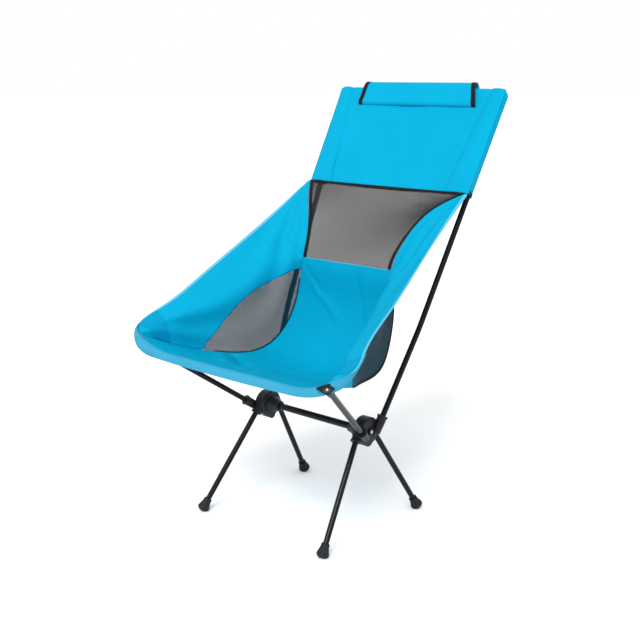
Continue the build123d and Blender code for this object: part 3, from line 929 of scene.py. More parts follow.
    # how steeply the creases fade towards the side seams and the front edge
    crease_fade: Pair = (12.0, 40.0)
    top_half: float = 245.0
    top_reach: float = 384.0
    top_z: float = 970.0
    top_round: float = 3.0
    tape_width: float = 8.0
    tape_inset: float = 2.5
    tape_lift: float = 0.9
    # share of the seam where the tapes beside the back net end
    tape_end: float = 0.985
    # the window's tape lies outside, from below its seam to above it, and stops short of the window's ends
    window_tape: Pair = (-3.0, 3.5)
    window_tape_short: float = 0.06
    window_tape_lift: float = 1.7
    mouth: Place = (237.0, 252.0, 742.0)
    pole_bend: Place = (201.0, 129.0, 451.0)
    pole_top: Place = (238.0, 384.0, 946.0)
    pole_radius: float = 6.5
    # half widths of the sleeve's seam at the mouth and at the top, and room round the pole
    sleeve_seam: Pair = (171.0, 207.0)
    sleeve_room: float = 1.6
    # distances of the sleeve's foot from the mouth, and of its shoulder and its shut end from the top
    sleeve_rise: float = 2.0
    sleeve_drop: float = 13.0
    sleeve_end: float = 1.2
    # how far behind the panel the sleeve is sewn on, and the share of the half width out to its shut end
    sleeve_gap: float = 1.0
    sleeve_half: float = 0.99
    # the strip over each pole: how far it swells forward, and how far its edge turns back
    strip_swell: float = 4.0
    strip_turn: float = 2.0
    panel_sag: float = 7.0
    panel_ripple: float = 1.1
    # turns of the two ripples, in radians over the half width and over the height
    first_ripple: Pair = (9.0, 3.0)
    second_ripple: Pair = (2.0, 5.0)
    # how steeply the panel's relief fades towards its side edges
    panel_fade: float = 30.0
    # depth and width of the hollow along the sleeve's seam
    seam_sink: float = 2.0
    seam_spread: float = 3.0
    flap_half: float = 168.0
    # how far the fold's left end slants: in at its top and out at its foot
    flap_slant: float = 11.0
    # heights of that foot and top
    flap_span: Pair = (-47.0, 18.0)
    flap_binding: float = 11.0
    # how far the bindings stand out past the fold's ends
    flap_over: float = 0.6
    # outline of the headrest fold: behind the panel, above its top edge
    flap_outline: Rows = (
        (0.4, -47.6),
        (-3.0, -45.0),
        (-4.4, -30.0),
        (-4.4, -8.0),
        (-3.4, 7.0),
        (0.8, 15.5),
        (7.5, 18.5),
        (13.8, 15.0),
        (17.0, 5.0),
        (16.6, -8.0),
        (12.0, -23.0),
        (6.4, -37.0),
        (3.0, -46.0),
        (0.4, -47.6),
    )
    # stitch rows: part of the way down the rim; distances from the waist, and how far out they run
    rim_stitch: float = 0.12
    waist_stitch: Pair = (3.0, 6.5)
    waist_half: float = 0.97
    # distances from the sleeve's seam, and the run up the panel
    sleeve_stitch: Pair = (-1.8, 1.8)
    sleeve_run: Run = (0.02, 0.78, 120)
    # place behind and above the panel's top edge, and the distance from the fold's ends
    flap_stitch: Pair = (-4.6, -41.0)
    flap_short: float = 2.0
    # distances from the wing's free edge and from its window, and shares left free at both rows' ends
    edge_stitch: float = 8.0
    window_stitch: float = 3.5
    edge_free: Pair = (0.01, 0.015)
    window_free: float = 0.012
    # how far off the next line lies for the normals: millimetres at the waist, a share of the wing's width
    waist_next: float = 0.5
    wing_next: float = 0.01
    sheets: Dict[str, Tuple[Piece, Tuple[str, ...]]] = field(default_factory=dict)
    trims: Dict[str, List[Piece]] = field(default_factory=dict)

    def __post_init__(self) -> None:
        """Works out the seam, middle and edge lines in metres."""
        rows = np.array(self.seat_rows)
        self.seam_points = self.metres(rows[:, :3])
        self.middle_points = self.metres(np.column_stack([np.zeros(len(rows)), rows[:, 3:]]))
        self.edge_points = self.metres(np.array(self.wing_edge))
        self.seam_waist = float(knot_shares(self.seam_points)[self.waist_row])
        self.seam_length = float(lengths(self.seam_points)[-1]) / MM
        self.middle_waist = float(knot_shares(self.middle_points)[self.waist_row])

    def build(self) -> None:
        """Makes every piece of the sling but its stitches."""
        self.build_seat()
        self.build_wings()
        self.build_rim()
        self.build_back_tapes()
        self.build_upper_back()
        self.build_headrest()

    def metres(self, points: Array) -> Array:
        """Points of x, reach and height in millimetres as places in the chair's frame."""
        return points * MM + np.array([0.0, self.crossbar_y, 0.0])

    def seam(self, way: Array) -> Array:
        """Left side seam at shares of its length, from the front corner to the sleeve mouth."""
        return curve(self.seam_points, way)

    def middle(self, way: Array) -> Array:
        """Middle line at shares of the seam: both pass the waist together.

        Args:
            way: Shares along the seam.

        Returns:
            Points of the middle line.
        """
        waist = self.seam_waist
        share = np.where(
            way < waist,
            way / waist * self.middle_waist,
            self.middle_waist + (way - waist) / (1.0 - waist) * (1.0 - self.middle_waist),
        )
        return curve(self.middle_points, share)

    def bowl(self, way: Array, across: Array) -> Array:
        """Seat and back: from the middle line out to the seams, bowed by a power of the share across.

        Args:
            way: Shares along the seam, as a grid.
            across: Shares of the half width, from -1 to 1, as a grid.

        Returns:
            The grid of points.
        """
        seam = self.seam(way)
        middle = self.middle(way)
        bow = middle - seam
        bow[..., 0] = 0.0
        power = 2.0 + (self.front_power - 2.0) * np.exp(-way / self.front_fade)
        out = middle - bow * (np.abs(across) ** power)[..., None]
        out[..., 0] += seam[..., 0] * across
        return out

    def span(self, steps: Sequence[float]) -> List[float]:
        """Shares along the seam of some steps of the seat."""
        return [step / self.seat_steps * self.seam_waist for step in steps]

    def window(self, way: Array) -> Array:
        """Share of the wing's width that is net: a flattened sine over the window's length.

        Args:
            way: Shares along the seam.

        Returns:
            Shares of the wing's width.
        """
        first, last = self.span(self.window_steps)
        part = np.clip((way - first) / (last - first), 0.0, 1.0)
        return self.window_share * np.maximum(np.sin(math.pi * part), 0.0) ** self.window_bow

    def taut(self, way: Array) -> Array:
        """Taut line of the left wing: straight from the front corner to the waist, then the seam itself.

        Args:
            way: Shares along the seam.

        Returns:
            Points of the taut line.
        """
        part = np.clip(way / self.seam_waist, 0.0, 1.0)[..., None]
        line = between(self.seam_points[0], self.seam_points[self.waist_row], part)
        return np.where((way < self.seam_waist)[..., None], line, self.seam(way))

    def wing_lengths(self, way: Array) -> Tuple[Array, Array]:
        """Lengths of a wing's wall, below its taut line, and of its shelf, from there to the free edge.

        Args:
            way: Shares along the seam.

        Returns:
            Lengths of the wall and of the shelf in metres.
        """
        taut = self.taut(way)
        wall = np.linalg.norm(taut - self.seam(way), axis=-1)
        return wall, np.linalg.norm(curve(self.edge_points, way) - taut, axis=-1)

    def wing_width(self, way: Array) -> Array:
        """Distance in millimetres along the wing from the seam to the free edge."""
        return sum(self.wing_lengths(way)) / MM

    def wing(self, way: Array, out: Array) -> Array:
        """Wing: from the seam up to the taut line and on to the free edge, rounded between, plus long folds.

        The turn at the taut line is a soft ramp: the logarithm of one plus an exponential.

        Args:
            way: Shares along the seam, as a grid.
            out: Shares of the wing's width, from 0 at the seam to 1 at the edge, as a grid.

        Returns:
            The grid of points of the left wing.
        """
        seam = self.seam(way)
        edge = curve(self.edge_points, way)
        taut = self.taut(way)
        wall, shelf = self.wing_lengths(way)
        width = (wall + shelf)[..., None]
        bend = wall / (wall + shelf)
        soft = self.taut_round * np.clip(self.round_grow * bend, self.round_least, 1.0)
        low, here, high = (soft * np.logaddexp(0.0, (part - bend) / soft) for part in (0.0, out, 1.0))
        ramp = ((here - low) * (1.0 - bend) / (high - low))[..., None]
        rise = unit(taut - seam) * width
        section = seam + rise * out[..., None] + (unit(edge - taut) * width - rise) * ramp
        normal = unit(np.cross(edge - seam, np.gradient(seam + edge, axis=0)))
        normal = normal * np.sign(normal[..., :1] - normal[..., 2:])
        hump = np.sin(math.pi * np.clip(out, 0.0, 1.0))
        drift, speed = self.fold_drift
        fold = self.fold_height * np.sin(FULL_TURN * (out * self.fold_count + drift * np.sin(speed * way)))
        fold = fold * np.sin(math.pi * np.clip(way, 0.0, 1.0)) ** self.fold_fade
        return section + normal * (fold * hump * MM)[..., None]

    def sheet(
        self,
        name: str,
        grid: Array,
        side: Side,
        material: Material,
        node: str,
        rests_on: Tuple[str, ...],
        closed: bool = False,
    ) -> Piece:
        """Makes a cloth sheet that stands for a CAD node.

        Args:
            name: The piece's name.
            grid: Points of the left half's piece or of a middle piece.
            side: The half that it is made for.
            material: Its finish.
            node: The CAD node that it stands for.
            rests_on: What it hangs from or lies on.
            closed: Whether it closes into a sleeve.

        Returns:
            The piece.
        """
        if side is Side.RIGHT:
            grid = mirrored(grid[:, ::-1])
        is_net = material in (self.net, self.window_net)
        piece = Piece(name, grid, material, "mesh" if is_net else "cloth", closed)
        piece.thicken((self.net_thickness if is_net else self.thickness) * MM, -1.0 if closed else 0.0)
        self.sheets[name] = (piece.replaces(node), rests_on)
        return piece

    def trim(self, name: str, grid: Array, side: Side, on: str, loop: Optional[Material] = None) -> Piece:
        """Makes a tape or a folded edge on a sheet.

        Args:
            name: The piece's name.
            grid: Points of the left half's piece or of a middle piece.
            side: The half that it is made for.
            on: The sheet that it is sewn to.
            loop: Finish of a folded edge, a closed tube with pinched ends; without it, a tape is made.

        Returns:
            The piece.
        """
        if side is Side.RIGHT:
            grid = mirrored(grid[:, ::-1])
        if loop:
            piece = Piece(name, pinched(grid, self.pinch), loop, "cloth", closed=True, capped=True)
        else:
            piece = Piece(name, grid, self.tape, "binding").thicken(self.tape_thickness * MM)
        self.trims.setdefault(on, []).append(piece)
        return piece

    def declare(self) -> None:
        """Logs each sheet with the flat size that its grid unrolls to and its area."""
        for name, (piece, rests_on) in self.sheets.items():
            LOG.info("%s: %.3f x %.3f m, %.3f m2", name, *piece.flat, piece.area)

    def build_seat(self) -> None:
        """Seat panel and back net: the bowl from the front edge to the waist and from there to the mouth."""
        lap = self.net_lap / self.seam_length
        to_seam, to_front = self.crease_fade
        way, across = mesh_grid((0.0, self.seam_waist, 150), (-1.0, 1.0, 121))
        grid = self.bowl(way, across)
        lift = sum(crease.lift(way, across) for crease in self.creases)
        lift = lift * np.clip((1.0 - np.abs(across)) * to_seam, 0.0, 1.0) * np.clip(way * to_front, 0.0, 1.0)
        grid = grid + inside(grid, 1) * lift[..., None]
        self.sheet("seat_cloth", grid, Side.LEFT, self.cloth, "seat_panel", both("corner_socket"))
        half = self.net_half
        grid = self.bowl(*mesh_grid((self.seam_waist - lap, 1.0 + lap, 60), (-half, half, 61)))
        grid = raised(grid, -self.net_drop, 1)
        self.sheet("back_net", grid, Side.LEFT, self.net, "back_mesh", both("back_pole_upper"))

    def build_wings(self) -> None:
        """Side wings, their net windows, folded edges, window tapes and corner linings."""
        for side in Side:
            name = side.node("wing_cloth")
            held_by = (side.node("corner_socket"), side.node("back_pole_upper"))
            way, share = mesh_grid((0.0, 1.0, 160), (0.0, 1.0, 49))
            grid = self.wing(way, between(self.window(way), 1.0, share))
            self.sheet(name, grid, side, self.cloth, side.node("side_wing"), held_by)
            way, share = mesh_grid((*self.span(self.window_steps), 90), (0.0, 1.0, 25))
            lap = self.net_lap / self.wing_width(way)
            grid = raised(self.wing(way, (self.window(way) + 2.0 * lap) * share - lap), -self.net_drop)
            self.sheet(side.node("side_net"), grid, side, self.window_net, side.node("side_mesh"), (name,))
            self.build_edge(side, name)
            self.build_window_tape(side)
            self.build_lining(side, name)

    def build_edge(self, side: Side, on: str) -> None:
        """Folded free edge of a wing: a flat loop carried along the edge, in the wing's own plane, in a
        lighter copy of the cloth that is a painted highlight.

        Args:
            side: The wing's half.
            on: The wing's sheet.
        """
        first = knot_shares(self.edge_points)[self.rim_row - 1]
        way, out = mesh_grid((first, 1.0, 150), self.edge_lines)
        grid = self.wing(way, out)
        grow = np.clip(self.edge_start + (way[:, :1] - first) / self.edge_grow, 0.0, 1.0)
        width = self.edge_width * grow[..., None]
        across = unit(grid[:, 1] - grid[:, 0])[:, None, :]
        square = unit(np.cross(across, np.gradient(grid[:, 1], axis=0)[:, None, :]))
        loop = flat_loop(20)
        points = (
            grid[:, 1:]
            + across * (width * (loop[:, :1] - 1.0) + self.edge_over) * MM
            + square * (0.5 * self.edge_thickness * loop[:, 1:]) * MM
        )
        self.trim(side.node("wing_edge_fold"), points, side, on, self.edge_cloth)

    def build_window_tape(self, side: Side) -> None:
        """Tape along the window's seam: a strip at a set distance from the seam, just outside the net.

        Args:
            side: The wing's half.
        """
        first, last = self.span(self.window_steps)
        margin = (last - first) * self.window_tape_short
        way, gap = mesh_grid((first + margin, last - margin, 110), (*self.window_tape, 9))
        grid = raised(self.wing(way, gap / self.wing_width(way)), -self.window_tape_lift)
        piece = self.trim(side.node("window_tape"), grid, side, side.node("side_net"))
        piece.replaces(side.node("side_mesh_binding"))

    def build_lining(self, side: Side, on: str) -> None:
        """Doubled cloth in a wing's front corner: the wing's own surface between two steps, just inside,
        finished in a darker copy of the cloth that is painted shade.

        Args:
            side: The wing's half.
            on: The wing's sheet.
        """
        first, low, high = self.span(self.patch_steps)
        share, out = mesh_grid((0.0, 1.0, 40), (*self.patch_sides, 33))
        grid = self.wing(between(first, between(low, high, out**2), share), out)
        grid = raised(grid, self.tape_lift)
        node = side.node("corner_patch")
        self.sheet(side.node("corner_lining"), grid, side, self.shade_painted_inner_cloth, node, (on,))

    def rim_lines(self, count: int) -> Tuple[Array, Array, Array]:
        """Upper line, way down to the lower line and outward normals of the front rim, from end to end.

        Args:
            count: Points along the rim.

        Returns:
            The three arrays.
        """
        halves = (self.metres(np.array(points)) for points in (self.rim_top, self.rim_low))
        top, low = (np.concatenate([half, mirrored(half[::-1])]) for half in halves)
        low[:, 2] -= self.corner_bag[1] * MM * self.bag(low[:, 0])
        share = np.linspace(0.0, 1.0, count)
        line = curve(top, share)
        down = curve(low, share, knot_shares(top)) - line
        out = unit(np.cross(down, np.gradient(line, axis=0)))
        return line, down, out * np.sign(-out[count // 2, 1])

    def bag(self, x: Array) -> Array:
        """Share of the right corner's bagging at places across, in metres: a bell round its socket."""
        return np.exp(-(((x / MM - self.bag_place[0]) / self.bag_place[1]) ** 2))

    def roll(self, line: Array, out: Array, part: Array, face: Array) -> Array:
        """Offset of the rim's face from its plain strip: a half sine, and a blunt, rising one where it bags.

        Args:
            line: Points of the rim's upper line.
            out: Normals that point out of the rim.
            part: Parts of the way down.
            face: 1 on the outer face, which bags, to 0 on the inner one, which only rises a little.

        Returns:
            The offsets in metres.
        """
        roll, _, rise = self.corner_bag
        bag = self.bag(line[..., 0])
        swell = np.maximum(np.sin(math.pi * part), 0.0)
        bulge = np.maximum(np.sin(math.pi * between(self.bag_start, 1.0, part)), 0.0)
        lift = self.rim_roll * swell + roll * bag * face * bulge**self.bag_power
        climb = rise * bag * between(self.inner_rise, 1.0, face) * (1.0 - part) ** 2
        return (out * lift[..., None] + climb[..., None] * Z_WAY) * MM

    def build_rim(self) -> None:
        """Front rim: a flat loop with a rolled face, carried round both corners and along the front edge, in
        a lighter, whiter copy of the cloth that is painted sheen.
        """
        line, down, out = (values[:, None] for values in self.rim_lines(260))
        loop = flat_loop(28)
        offset = self.roll(line, out, loop[:, 0], 0.5 + 0.5 * loop[:, 1])
        points = line + down * loop[:, :1] + offset + out * (0.5 * self.rim_thickness * loop[:, 1:]) * MM
        self.trim("front_rim", points, Side.LEFT, "seat_cloth", self.rim_cloth).replaces("front_hem")

    def build_back_tapes(self) -> None:
        """Tapes round the back net: strips along both seams and along the mouth, just inside the net."""
        for side in Side:
            way, share = mesh_grid((self.seam_waist, self.tape_end, 60), (0.0, 1.0, 9))
            half = self.seam(way)[..., 0] / MM
            grid = self.bowl(way, 1.0 - (self.tape_inset + self.tape_width * share) / half)
            piece = self.trim(side.node("back_net_tape"), raised(grid, self.tape_lift, 1), side, "back_net")
            if side is Side.LEFT:
                piece.replaces("back_mesh_side_bindings")
        fit = 1.0 - self.tape_inset * MM / self.seam_points[-1, 0]
        run = np.linalg.norm(self.middle_points[-1] - self.middle_points[self.waist_row]) / MM
        drop = self.tape_width / run * (1.0 - self.seam_waist)
        grid = self.bowl(*mesh_grid((1.0 - drop, 1.0, 9), (-fit, fit, 90)))
        grid = raised(grid, self.tape_lift + self.tape_thickness, 1)
        self.trim("back_net_top_tape", grid, Side.LEFT, "back_net").replaces("back_mesh_top_binding")

    def panel_lines(self) -> Tuple[Array, Array, Array, Array]:
        """Mouth corner, top corner, way up and way back of the upper panel.

        Returns:
            Two places and two unit vectors.
        """
        mouth, top = self.metres(np.array([self.mouth, (self.top_half, self.top_reach, self.top_z)]))
        up = unit((top - mouth) * MID_WIDTH)
        return mouth, top, up, np.array([0.0, up[2], -up[1]])

    def panel(self, up: Array, across: Array) -> Array:
        """Upper panel: straight from the mouth to the top, sagging back between swollen pole strips.

        Args:
            up: Shares of the way up, as a grid.
            across: Shares of the half width, from -1 to 1, as a grid.

        Returns:
            The grid of points.
        """
        mouth, top, _, back = self.panel_lines()
        line = between(mouth, top, up[..., None])
        height = np.linalg.norm(top - mouth) / MM
        left = np.clip(self.top_round - (1.0 - up) * height, 0.0, self.top_round)
        cut = self.top_round - np.sqrt(np.maximum(self.top_round**2 - left**2, 0.0))
        half = line[..., 0] / MM
        place = np.abs(across) * half
        seam = between(*self.sleeve_seam, up)
        outer = np.clip((place - seam) / (half - seam), 0.0, 1.0)
        swell = self.strip_swell * np.sin(math.pi * outer)
        sink = self.seam_sink * np.exp(-(((place - seam) / self.seam_spread) ** 2))
        waves = (np.sin(a * across + b * up) for a, b in (self.first_ripple, self.second_ripple))
        ripple = self.panel_ripple * math.prod(waves)
        sag = self.panel_sag * np.clip(1.0 - (place / seam) ** 2, 0.0, 1.0) * np.sin(math.pi * up)
        fade = np.clip((1.0 - np.abs(across)) * self.panel_fade, 0.0, 1.0)
        forward = (swell - sink + ripple - sag) * fade - self.strip_turn * outer**4
        line[..., 0] = (half - cut) * MM * across
        return line - back * (forward * MM)[..., None]

    def build_upper_back(self) -> None:
        """Upper back panel and the two pole sleeves behind it."""
        grid = self.panel(*mesh_grid((0.0, 1.0, 90), (-1.0, 1.0, 161)))
        poles = both("back_pole_upper")
        self.sheet("upper_back_cloth", grid, Side.LEFT, self.cloth, "upper_back_panel", poles)
        for side in Side:
            self.build_sleeve(side)

    def build_sleeve(self, side: Side) -> None:
        """Pole sleeve: a line from its seam, round the pole, to the panel's edge, carried up and shut.

        Args:
            side: The sleeve's half.
        """
        mouth, top, up, back = self.panel_lines()
        bend, tip = self.metres(np.array([self.pole_bend, self.pole_top]))
        height = (top - mouth) @ up
        gap = self.sleeve_gap * MM
        ends = []
        for rise, seam_x in zip((self.sleeve_rise * MM, height - self.sleeve_drop * MM), self.sleeve_seam):
            base = mouth * MID_WIDTH + up * rise
            pole = between(bend, tip, ((base - bend) @ up) / ((tip - bend) @ up))
            centre = np.array([pole[0], (pole - base) @ back])
            start = np.array([seam_x * MM, gap])
            end = np.array([between(mouth[0], top[0], rise / height), self.strip_turn * MM + gap])
            outline = wrap(centre, start, end, (self.pole_radius + self.sleeve_room) * MM)
            ends.append(base + outline[:, :1] * X_WAY + outline[:, 1:] * back)
        grid = between(*ends, np.linspace(0.0, 1.0, 60)[:, None, None])
        rise = 1.0 - self.sleeve_end * MM / height
        across = np.linspace(self.sleeve_seam[1] / self.top_half, self.sleeve_half, grid.shape[1])[None]
        closed = self.panel(np.full_like(across, rise), across) + back * gap
        turn = 0.5 * math.pi * np.linspace(0.0, 1.0, 16)[1:, None, None]
        climb = ((closed - grid[-1:]) @ up)[..., None] * up
        shut = grid[-1:] + climb * np.sin(turn) + (closed - grid[-1:] - climb) * (1.0 - np.cos(turn))
        grid = np.concatenate([grid, shut])
        name = side.node("sleeve_cloth")
        self.sheet(name, grid, side, self.cloth, side.node("pole_sleeve"), (side.node("back_pole_upper"),))
        band = between(*ends, np.linspace(0.0, self.tape_width * MM / height, 9)[:, None, None])
        out = normals(band)
        out = out * np.sign(np.sum(out * back))
        self.trim(side.node("sleeve_mouth_tape"), band + out * self.tape_lift * MM, side, name)

    def build_headrest(self) -> None:
        """Headrest sleeve: the outline of a fat fold over the top edge, carried across, with bound ends."""
        _, top, up, back = self.panel_lines()
        loop = curve(np.array(self.flap_outline), np.linspace(0.0, 1.0, 72, endpoint=False))
        section = top * MID_WIDTH + (loop[:, :1] * back + loop[:, 1:] * up) * MM
        slant = self.flap_slant * np.interp(loop[:, 1], self.flap_span, (1.0, -1.0))[:, None] * MM
        share = np.linspace(0.0, 1.0, 120)[:, None, None]
        grid = section + (between(-self.flap_half, self.flap_half, share) * MM + slant * share) * X_WAY
        under = ("upper_back_cloth",)
        self.sheet("headrest_cloth", grid, Side.LEFT, self.cloth, "headrest_sleeve", under, closed=True)
        grown = section + self.loop_out(section) * self.tape_lift * MM
        first, last = self.flap_half - self.flap_binding, self.flap_half + self.flap_over
        x = np.linspace(first, last, 8)[:, None, None] * MM
        for side in Side:
            grid = grown + (x + slant if side is Side.LEFT else -x[::-1]) * X_WAY
            band = Piece(side.node("headrest_binding"), grid, self.tape, "binding", closed=True)
            band.thicken(self.tape_thickness * MM, -1.0)
            self.trims.setdefault("headrest_cloth", []).append(band)
            if side is Side.LEFT:
                band.replaces("headrest_end_bindings")

    def loop_out(self, section: Array) -> Array:
        """Unit vectors that point out of a closed section that lies square to X.

        Args:
            section: Points of the section.

        Returns:
            One vector for each point.
        """
        run = np.roll(section, -1, axis=0) - np.roll(section, 1, axis=0)
        out = unit(np.cross(run, X_WAY))
        return out * np.sign(np.sum(out * (section - section.mean(axis=0))))

    def seams(self) -> Dict[str, List[Seam]]:
        """Lines of the stitch rows and their normals, by the sheet that they are sewn to.

        Returns:
            The rows of each sheet.
        """
        rows: Dict[str, List[Seam]] = {"seat_cloth": [], "upper_back_cloth": [], "headrest_cloth": []}
        face = 0.5 * self.thickness * MM
        line, down, out = self.rim_lines(400)
        part = np.array(self.rim_stitch)
        offset = self.roll(line, out, part, np.array(1.0)) + out * 0.5 * self.rim_thickness * MM
        rows["seat_cloth"].append((line + down * part + offset, out))
        for gap in self.waist_stitch:
            first, second = self.seam_waist - np.array([gap, gap - self.waist_next]) / self.seam_length
            grid = self.bowl(*mesh_grid((first, second, 2), (-self.waist_half, self.waist_half, 160)))
            square = inside(grid, 1)[0]
            rows["seat_cloth"].append((grid[0] + square * face, square))
        mouth, top, up, back = self.panel_lines()
        rise, _ = mesh_grid(self.sleeve_run, (0.0, 0.0, 1))
        half = between(mouth[0], top[0], rise) / MM
        for gap in self.sleeve_stitch:
            line = self.panel(rise, (between(*self.sleeve_seam, rise) + gap) / half)[:, 0] - back * face
            out = np.tile(-back, (len(line), 1))
            rows["upper_back_cloth"] += [(line, out), (mirrored(line), out)]
        behind, above = self.flap_stitch
        reach = self.flap_half - self.flap_short
        x = np.linspace(-reach, reach, 120)[:, None] * MM
        line = top * MID_WIDTH + (behind * back + above * up) * MM + x * X_WAY
        rows["headrest_cloth"].append((line, np.tile(-back, (len(line), 1))))
        left = self.wing_seams()
        right = [(mirrored(line), mirrored(out)) for line, out in left]
        return {**rows, **dict(zip(both("wing_cloth"), (left, right)))}

    def wing_seams(self) -> List[Seam]:
        """Stitch rows of the left wing: along its folded edge and round its window.

        Returns:
            Both rows.
        """
        first = knot_shares(self.edge_points)[self.rim_row]
        start, end = self.span(self.window_steps)
        edge = np.linspace(first + self.edge_free[0], 1.0 - self.edge_free[1], 300)
        hole = np.linspace(start + self.window_free, end - self.window_free, 220)
        edge_out = 1.0 - self.edge_stitch / self.wing_width(edge)
        hole_out = self.window(hole) + self.window_stitch / self.wing_width(hole)
        rows = []
        for way, out, thick in ((edge, edge_out, self.edge_thickness), (hole, hole_out, self.thickness)):
            grid = self.wing(np.stack([way, way], axis=1), np.stack([out, out + self.wing_next], axis=1))
            square = inside(grid)[:, 0]
            rows.append((grid[:, 0] + square * 0.5 * thick * MM, square))
        return rows


@dataclass
class Stitching:
    """Rows of short thread stitches along the sling's seams."""

    thread: Material
    length: float = 2.6
    pitch: float = 3.6
    radius: float = 0.34
    sides: int = 5
    # share of the radius by which a stitch's middle lies off the cloth
    off: float = 0.4
    # places of a stitch's rings along it, and how blunt its ends are
    rings: Tuple[float, ...] = (-1.0, -0.7, 0.0, 0.7, 1.0)
    blunt: float = 1.04

    def row(self, line: Array, out: Array) -> Seam:
        """Middles and directions of the stitches of one row.

        Args:
            line: Points of the seam.
            out: Unit normals at those points.

        Returns:
            Middles lifted off the cloth's face, and unit directions.
        """
        reach = lengths(line)
        pitch = self.pitch * MM
        places = np.arange(pitch, reach[-1] - pitch, pitch)
        middle, lift, way = (
            np.column_stack([np.interp(places, reach, values[:, k]) for k in range(3)])
            for values in (line, out, np.gradient(line, reach, axis=0))
        )
        return middle + lift * self.radius * self.off * MM, unit(way)

    def build(self, name: str, rows: Sequence[Seam]) -> Piece:
        """All stitches of a sheet as one piece: each is a short bead whose rings swell by a half circle.

        Args:
            name: The piece's name.
            rows: Lines and normals of the rows.

        Returns:
            The piece.
        """
        parts = [self.row(*row) for row in rows]
        middle, way = (np.concatenate(values)[:, None, None] for values in zip(*parts))
        first, second = square_to(way)
        share = np.array(self.rings)[:, None, None]
        swell = self.radius * np.sqrt(self.blunt - share**2) * MM
        angle = turns(self.sides)[:, None]
        ring = first * (swell * np.cos(angle)) + second * (swell * np.sin(angle))
        points = middle + way * (share * self.length * 0.5 * MM) + ring
        count, rings, sides = points.shape[:3]
        index = np.arange(rings * sides).reshape(rings, sides)
        caps = np.stack([index[0, ::-1], index[-1]])
        index = np.hstack([index, index[:, :1]])
        corners = (index[:-1, :-1], index[:-1, 1:], index[1:, 1:], index[1:, :-1])
        quads = np.stack(corners, axis=-1).reshape(-1, 4)
        shift = np.arange(count)[:, None, None] * rings * sides
        faces = (quads + shift).reshape(-1, 4).tolist() + (caps + shift).reshape(-1, sides).tolist()
        mesh = bpy.data.meshes.new(name)
        mesh.from_pydata(points.reshape(-1, 3).tolist(), [], faces)
        mesh.materials.append(self.thread)
        mesh.update()
        return Piece.of_mesh(name, mesh, "cloth")


@dataclass
class ShockCords:
    """Elastic cords inside the legs and front poles: round braids along each tube's axis."""

    finish: Material
    radius: float = 1.5
    # size of the end rows as a share of the next ones
    pinch: float = 0.05
    # nodes of a half, and on the left the signs of x, y and z of the box corner where each cord starts
    nodes: Tuple[Tuple[str, Place], ...] = (
        ("front_leg_shock_cord", (-1.0, 1.0, 1.0)),
        ("rear_leg_shock_cord", (-1.0, -1.0, 1.0)),
        ("front_pole_shock_cord", (-1.0, 1.0, -1.0)),
    )

    def build(self) -> None:
        """Makes the cords: each runs between two opposite corners of its node's box, less its own radius."""
        for side in Side:
            for node, signs in self.nodes:
                low, high = (np.array(corner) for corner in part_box(side.node(node)))
                sign = np.array(signs) * np.array([side.value, 1.0, 1.0])
                half = (high - low) / 2.0
                half = half - self.radius * MM * np.sqrt(1.0 - unit(half) ** 2)
                middle = (low + high) / 2.0
                self.cord(side.node(node), np.linspace(middle + sign * half, middle - sign * half, 60))

    def cord(self, node: str, line: Array) -> None:
        """One cord: a circle carried along its line, pinched shut at both ends.

        Args:
            node: The cord's CAD node.
            line: Points of its axis.
        """
        grid = pinched(tube_grid(line, self.radius * MM, 10), self.pinch)
        name = node.replace("shock_cord", "braid")
        Piece(name, grid, self.finish, "cord", closed=True, capped=True).replaces(node)


@dataclass
class Hardware:
    """Tubes, hubs, feet and fittings: CAD nodes that keep their shape and get their finish."""

    finishes: Dict[str, Material]

    def dress(self) -> int:
        """Gives every CAD node the finish of its slot.

        Returns:
            How many nodes were dressed.
        """
        parts = frame["record"]["subparts"]
        for part in parts:
            node = frame["nodes"][part["node"]]
            node.data.materials.clear()
            node.data.materials.append(self.finishes[part["material_slot"]])
        return len(parts)


@dataclass
class Studio:
    """Plain pale floor, soft light and the camera."""

    camera_at: Place = (1.5259, -1.7743, 1.0051)
    azimuth: float = 41.294
    pitch: float = 13.369
    lens: float = 58.41
    sensor: float = 36.0
    sky: float = 1.0
    sun_power: float = 2.4
    sun_spread: float = 28.0
    sun_turn: Place = (43.0, 0.0, 22.0)
    floor_half: float = 40.0
    floor_tones: Pair = (0.92, 0.95)

    def build(self) -> None:
        """Makes the floor, the lights and the camera."""
        self.floor()
        sun = bpy.data.lights.new("key", "SUN")
        sun.energy = self.sun_power
        sun.angle = math.radians(self.sun_spread)
        lamp = bpy.data.objects.new("key", sun)
        lamp.rotation_euler = tuple(math.radians(turn) for turn in self.sun_turn)
        bpy.context.scene.collection.objects.link(lamp)
        world = bpy.data.worlds.new("studio")
        bpy.context.scene.world = world
        world.use_nodes = True
        background = world.node_tree.nodes["Background"]
        background.inputs["Color"].default_value = (1.0, 1.0, 1.0, 1.0)
        background.inputs["Strength"].default_value = self.sky
        lens = bpy.data.cameras.new("camera")
        lens.lens = self.lens
        lens.sensor_width = self.sensor
        camera = bpy.data.objects.new("camera", lens)
        camera.location = self.camera_at
        camera.rotation_euler = (math.radians(90.0 - self.pitch), 0.0, math.radians(self.azimuth))
        bpy.context.scene.collection.objects.link(camera)
        bpy.context.scene.camera = camera
        bpy.context.scene.view_settings.view_transform = "Standard"

    def floor(self) -> None:
        """Pale floor: one flat square with a faint mottling."""
        g = Graph("pale_floor")
        cloud = g.noise(3.0, 2.0)
        colour = g.mix(cloud, *((tone, tone, tone) for tone in self.floor_tones))
        material = g.surface(Base_Color=colour, Roughness=cloud * 0.1 + 0.8)
        far = self.floor_half
        mesh = bpy.data.meshes.new("floor")
        corners = [(-far, -far, 0.0), (far, -far, 0.0), (far, far, 0.0), (-far, far, 0.0)]
        mesh.from_pydata(corners, [], [(0, 1, 2, 3)])
        mesh.materials.append(material)
        plane = bpy.data.objects.new("floor", mesh)
        bpy.context.scene.collection.objects.link(plane)


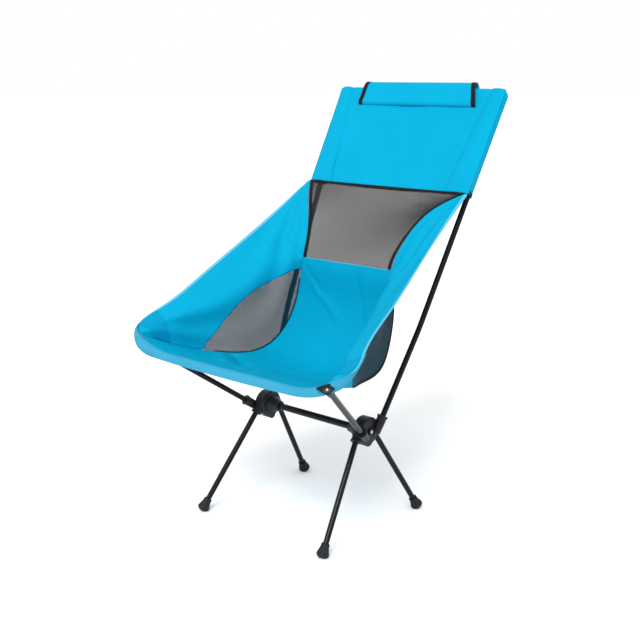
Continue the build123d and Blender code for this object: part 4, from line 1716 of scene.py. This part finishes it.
def main() -> None:
    """Builds the finishes, the sling, the hardware and the studio."""
    logging.basicConfig(level=logging.INFO, format="%(message)s")
    cloth = WovenCloth("sling_cloth", (0.0, 0.303, 0.488), (0.0, 0.262, 0.44)).material()
    # darker copy of the sling cloth for the corner linings: painted shade
    shade_painted_lining = WovenCloth("lined_cloth", (0.0, 0.25, 0.435), (0.0, 0.21, 0.39)).material()
    # lighter, whiter copy of the sling cloth for the front rim: painted sheen
    rim = WovenCloth("rim_cloth", (0.043, 0.287, 0.44), (0.03, 0.255, 0.405)).material()
    # lighter copy of the sling cloth for the wings' folded edges: a painted highlight
    edge = WovenCloth("edge_cloth", (0.10, 0.40, 0.56), (0.07, 0.37, 0.53)).material()
    thread = WovenCloth("sewing_thread", (0.0, 0.255, 0.44), (0.0, 0.22, 0.40)).material()
    net = OpenNet("back_net", (0.009, 0.009, 0.01), (0.026, 0.026, 0.028), hole=0.262).material()
    # window net yarn tinted blue: painted light of the lit blue cloth behind the net
    window_net = OpenNet("window_net", (0.003, 0.022, 0.035), (0.008, 0.042, 0.062), hole=0.218).material()
    tape = RibbedTape("binding_tape", (0.004, 0.004, 0.005), (0.010, 0.010, 0.011)).material()
    cord = BraidedCord("shock_cord", (0.02, 0.02, 0.02), (0.4, 0.4, 0.4)).material()
    finishes = {
        "tube": AnodisedTube("black_tube", (0.003, 0.003, 0.004), (0.008, 0.008, 0.010)).material(),
        "alloy": BareMetal("drawn_alloy", (0.62, 0.62, 0.64), (0.45, 0.45, 0.47)).material(),
        "steel": BareMetal("plated_steel", (0.72, 0.72, 0.74), (0.5, 0.5, 0.52)).material(),
        "hub": Moulded("hub_plastic", (0.007, 0.007, 0.009), (0.016, 0.016, 0.019), 0.42).material(),
        "moulding": Moulded("socket_plastic", (0.006, 0.006, 0.007), (0.012, 0.012, 0.014), 0.32).material(),
        "plastic": Moulded("fitting_plastic", (0.02, 0.02, 0.022), (0.035, 0.035, 0.038), 0.5).material(),
        "rubber": Moulded("foot_rubber", (0.007, 0.007, 0.008), (0.016, 0.016, 0.018), 0.62).material(),
        "cord": cord,
        "cloth": cloth,
        "mesh": net,
        "binding": tape,
    }
    low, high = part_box("crossbar")
    sling = Sling((low[1] + high[1]) / 2.0, cloth, shade_painted_lining, rim, edge, net, window_net, tape)
    sling.build()
    stitching = Stitching(thread)
    for sheet, rows in sling.seams().items():
        sling.trims.setdefault(sheet, []).append(stitching.build(sheet.replace("cloth", "stitches"), rows))
    sling.declare()
    ShockCords(cord).build()
    LOG.info("dressed %d nodes", Hardware(finishes).dress())
    Studio().build()


if __name__ == "__main__":
    main()
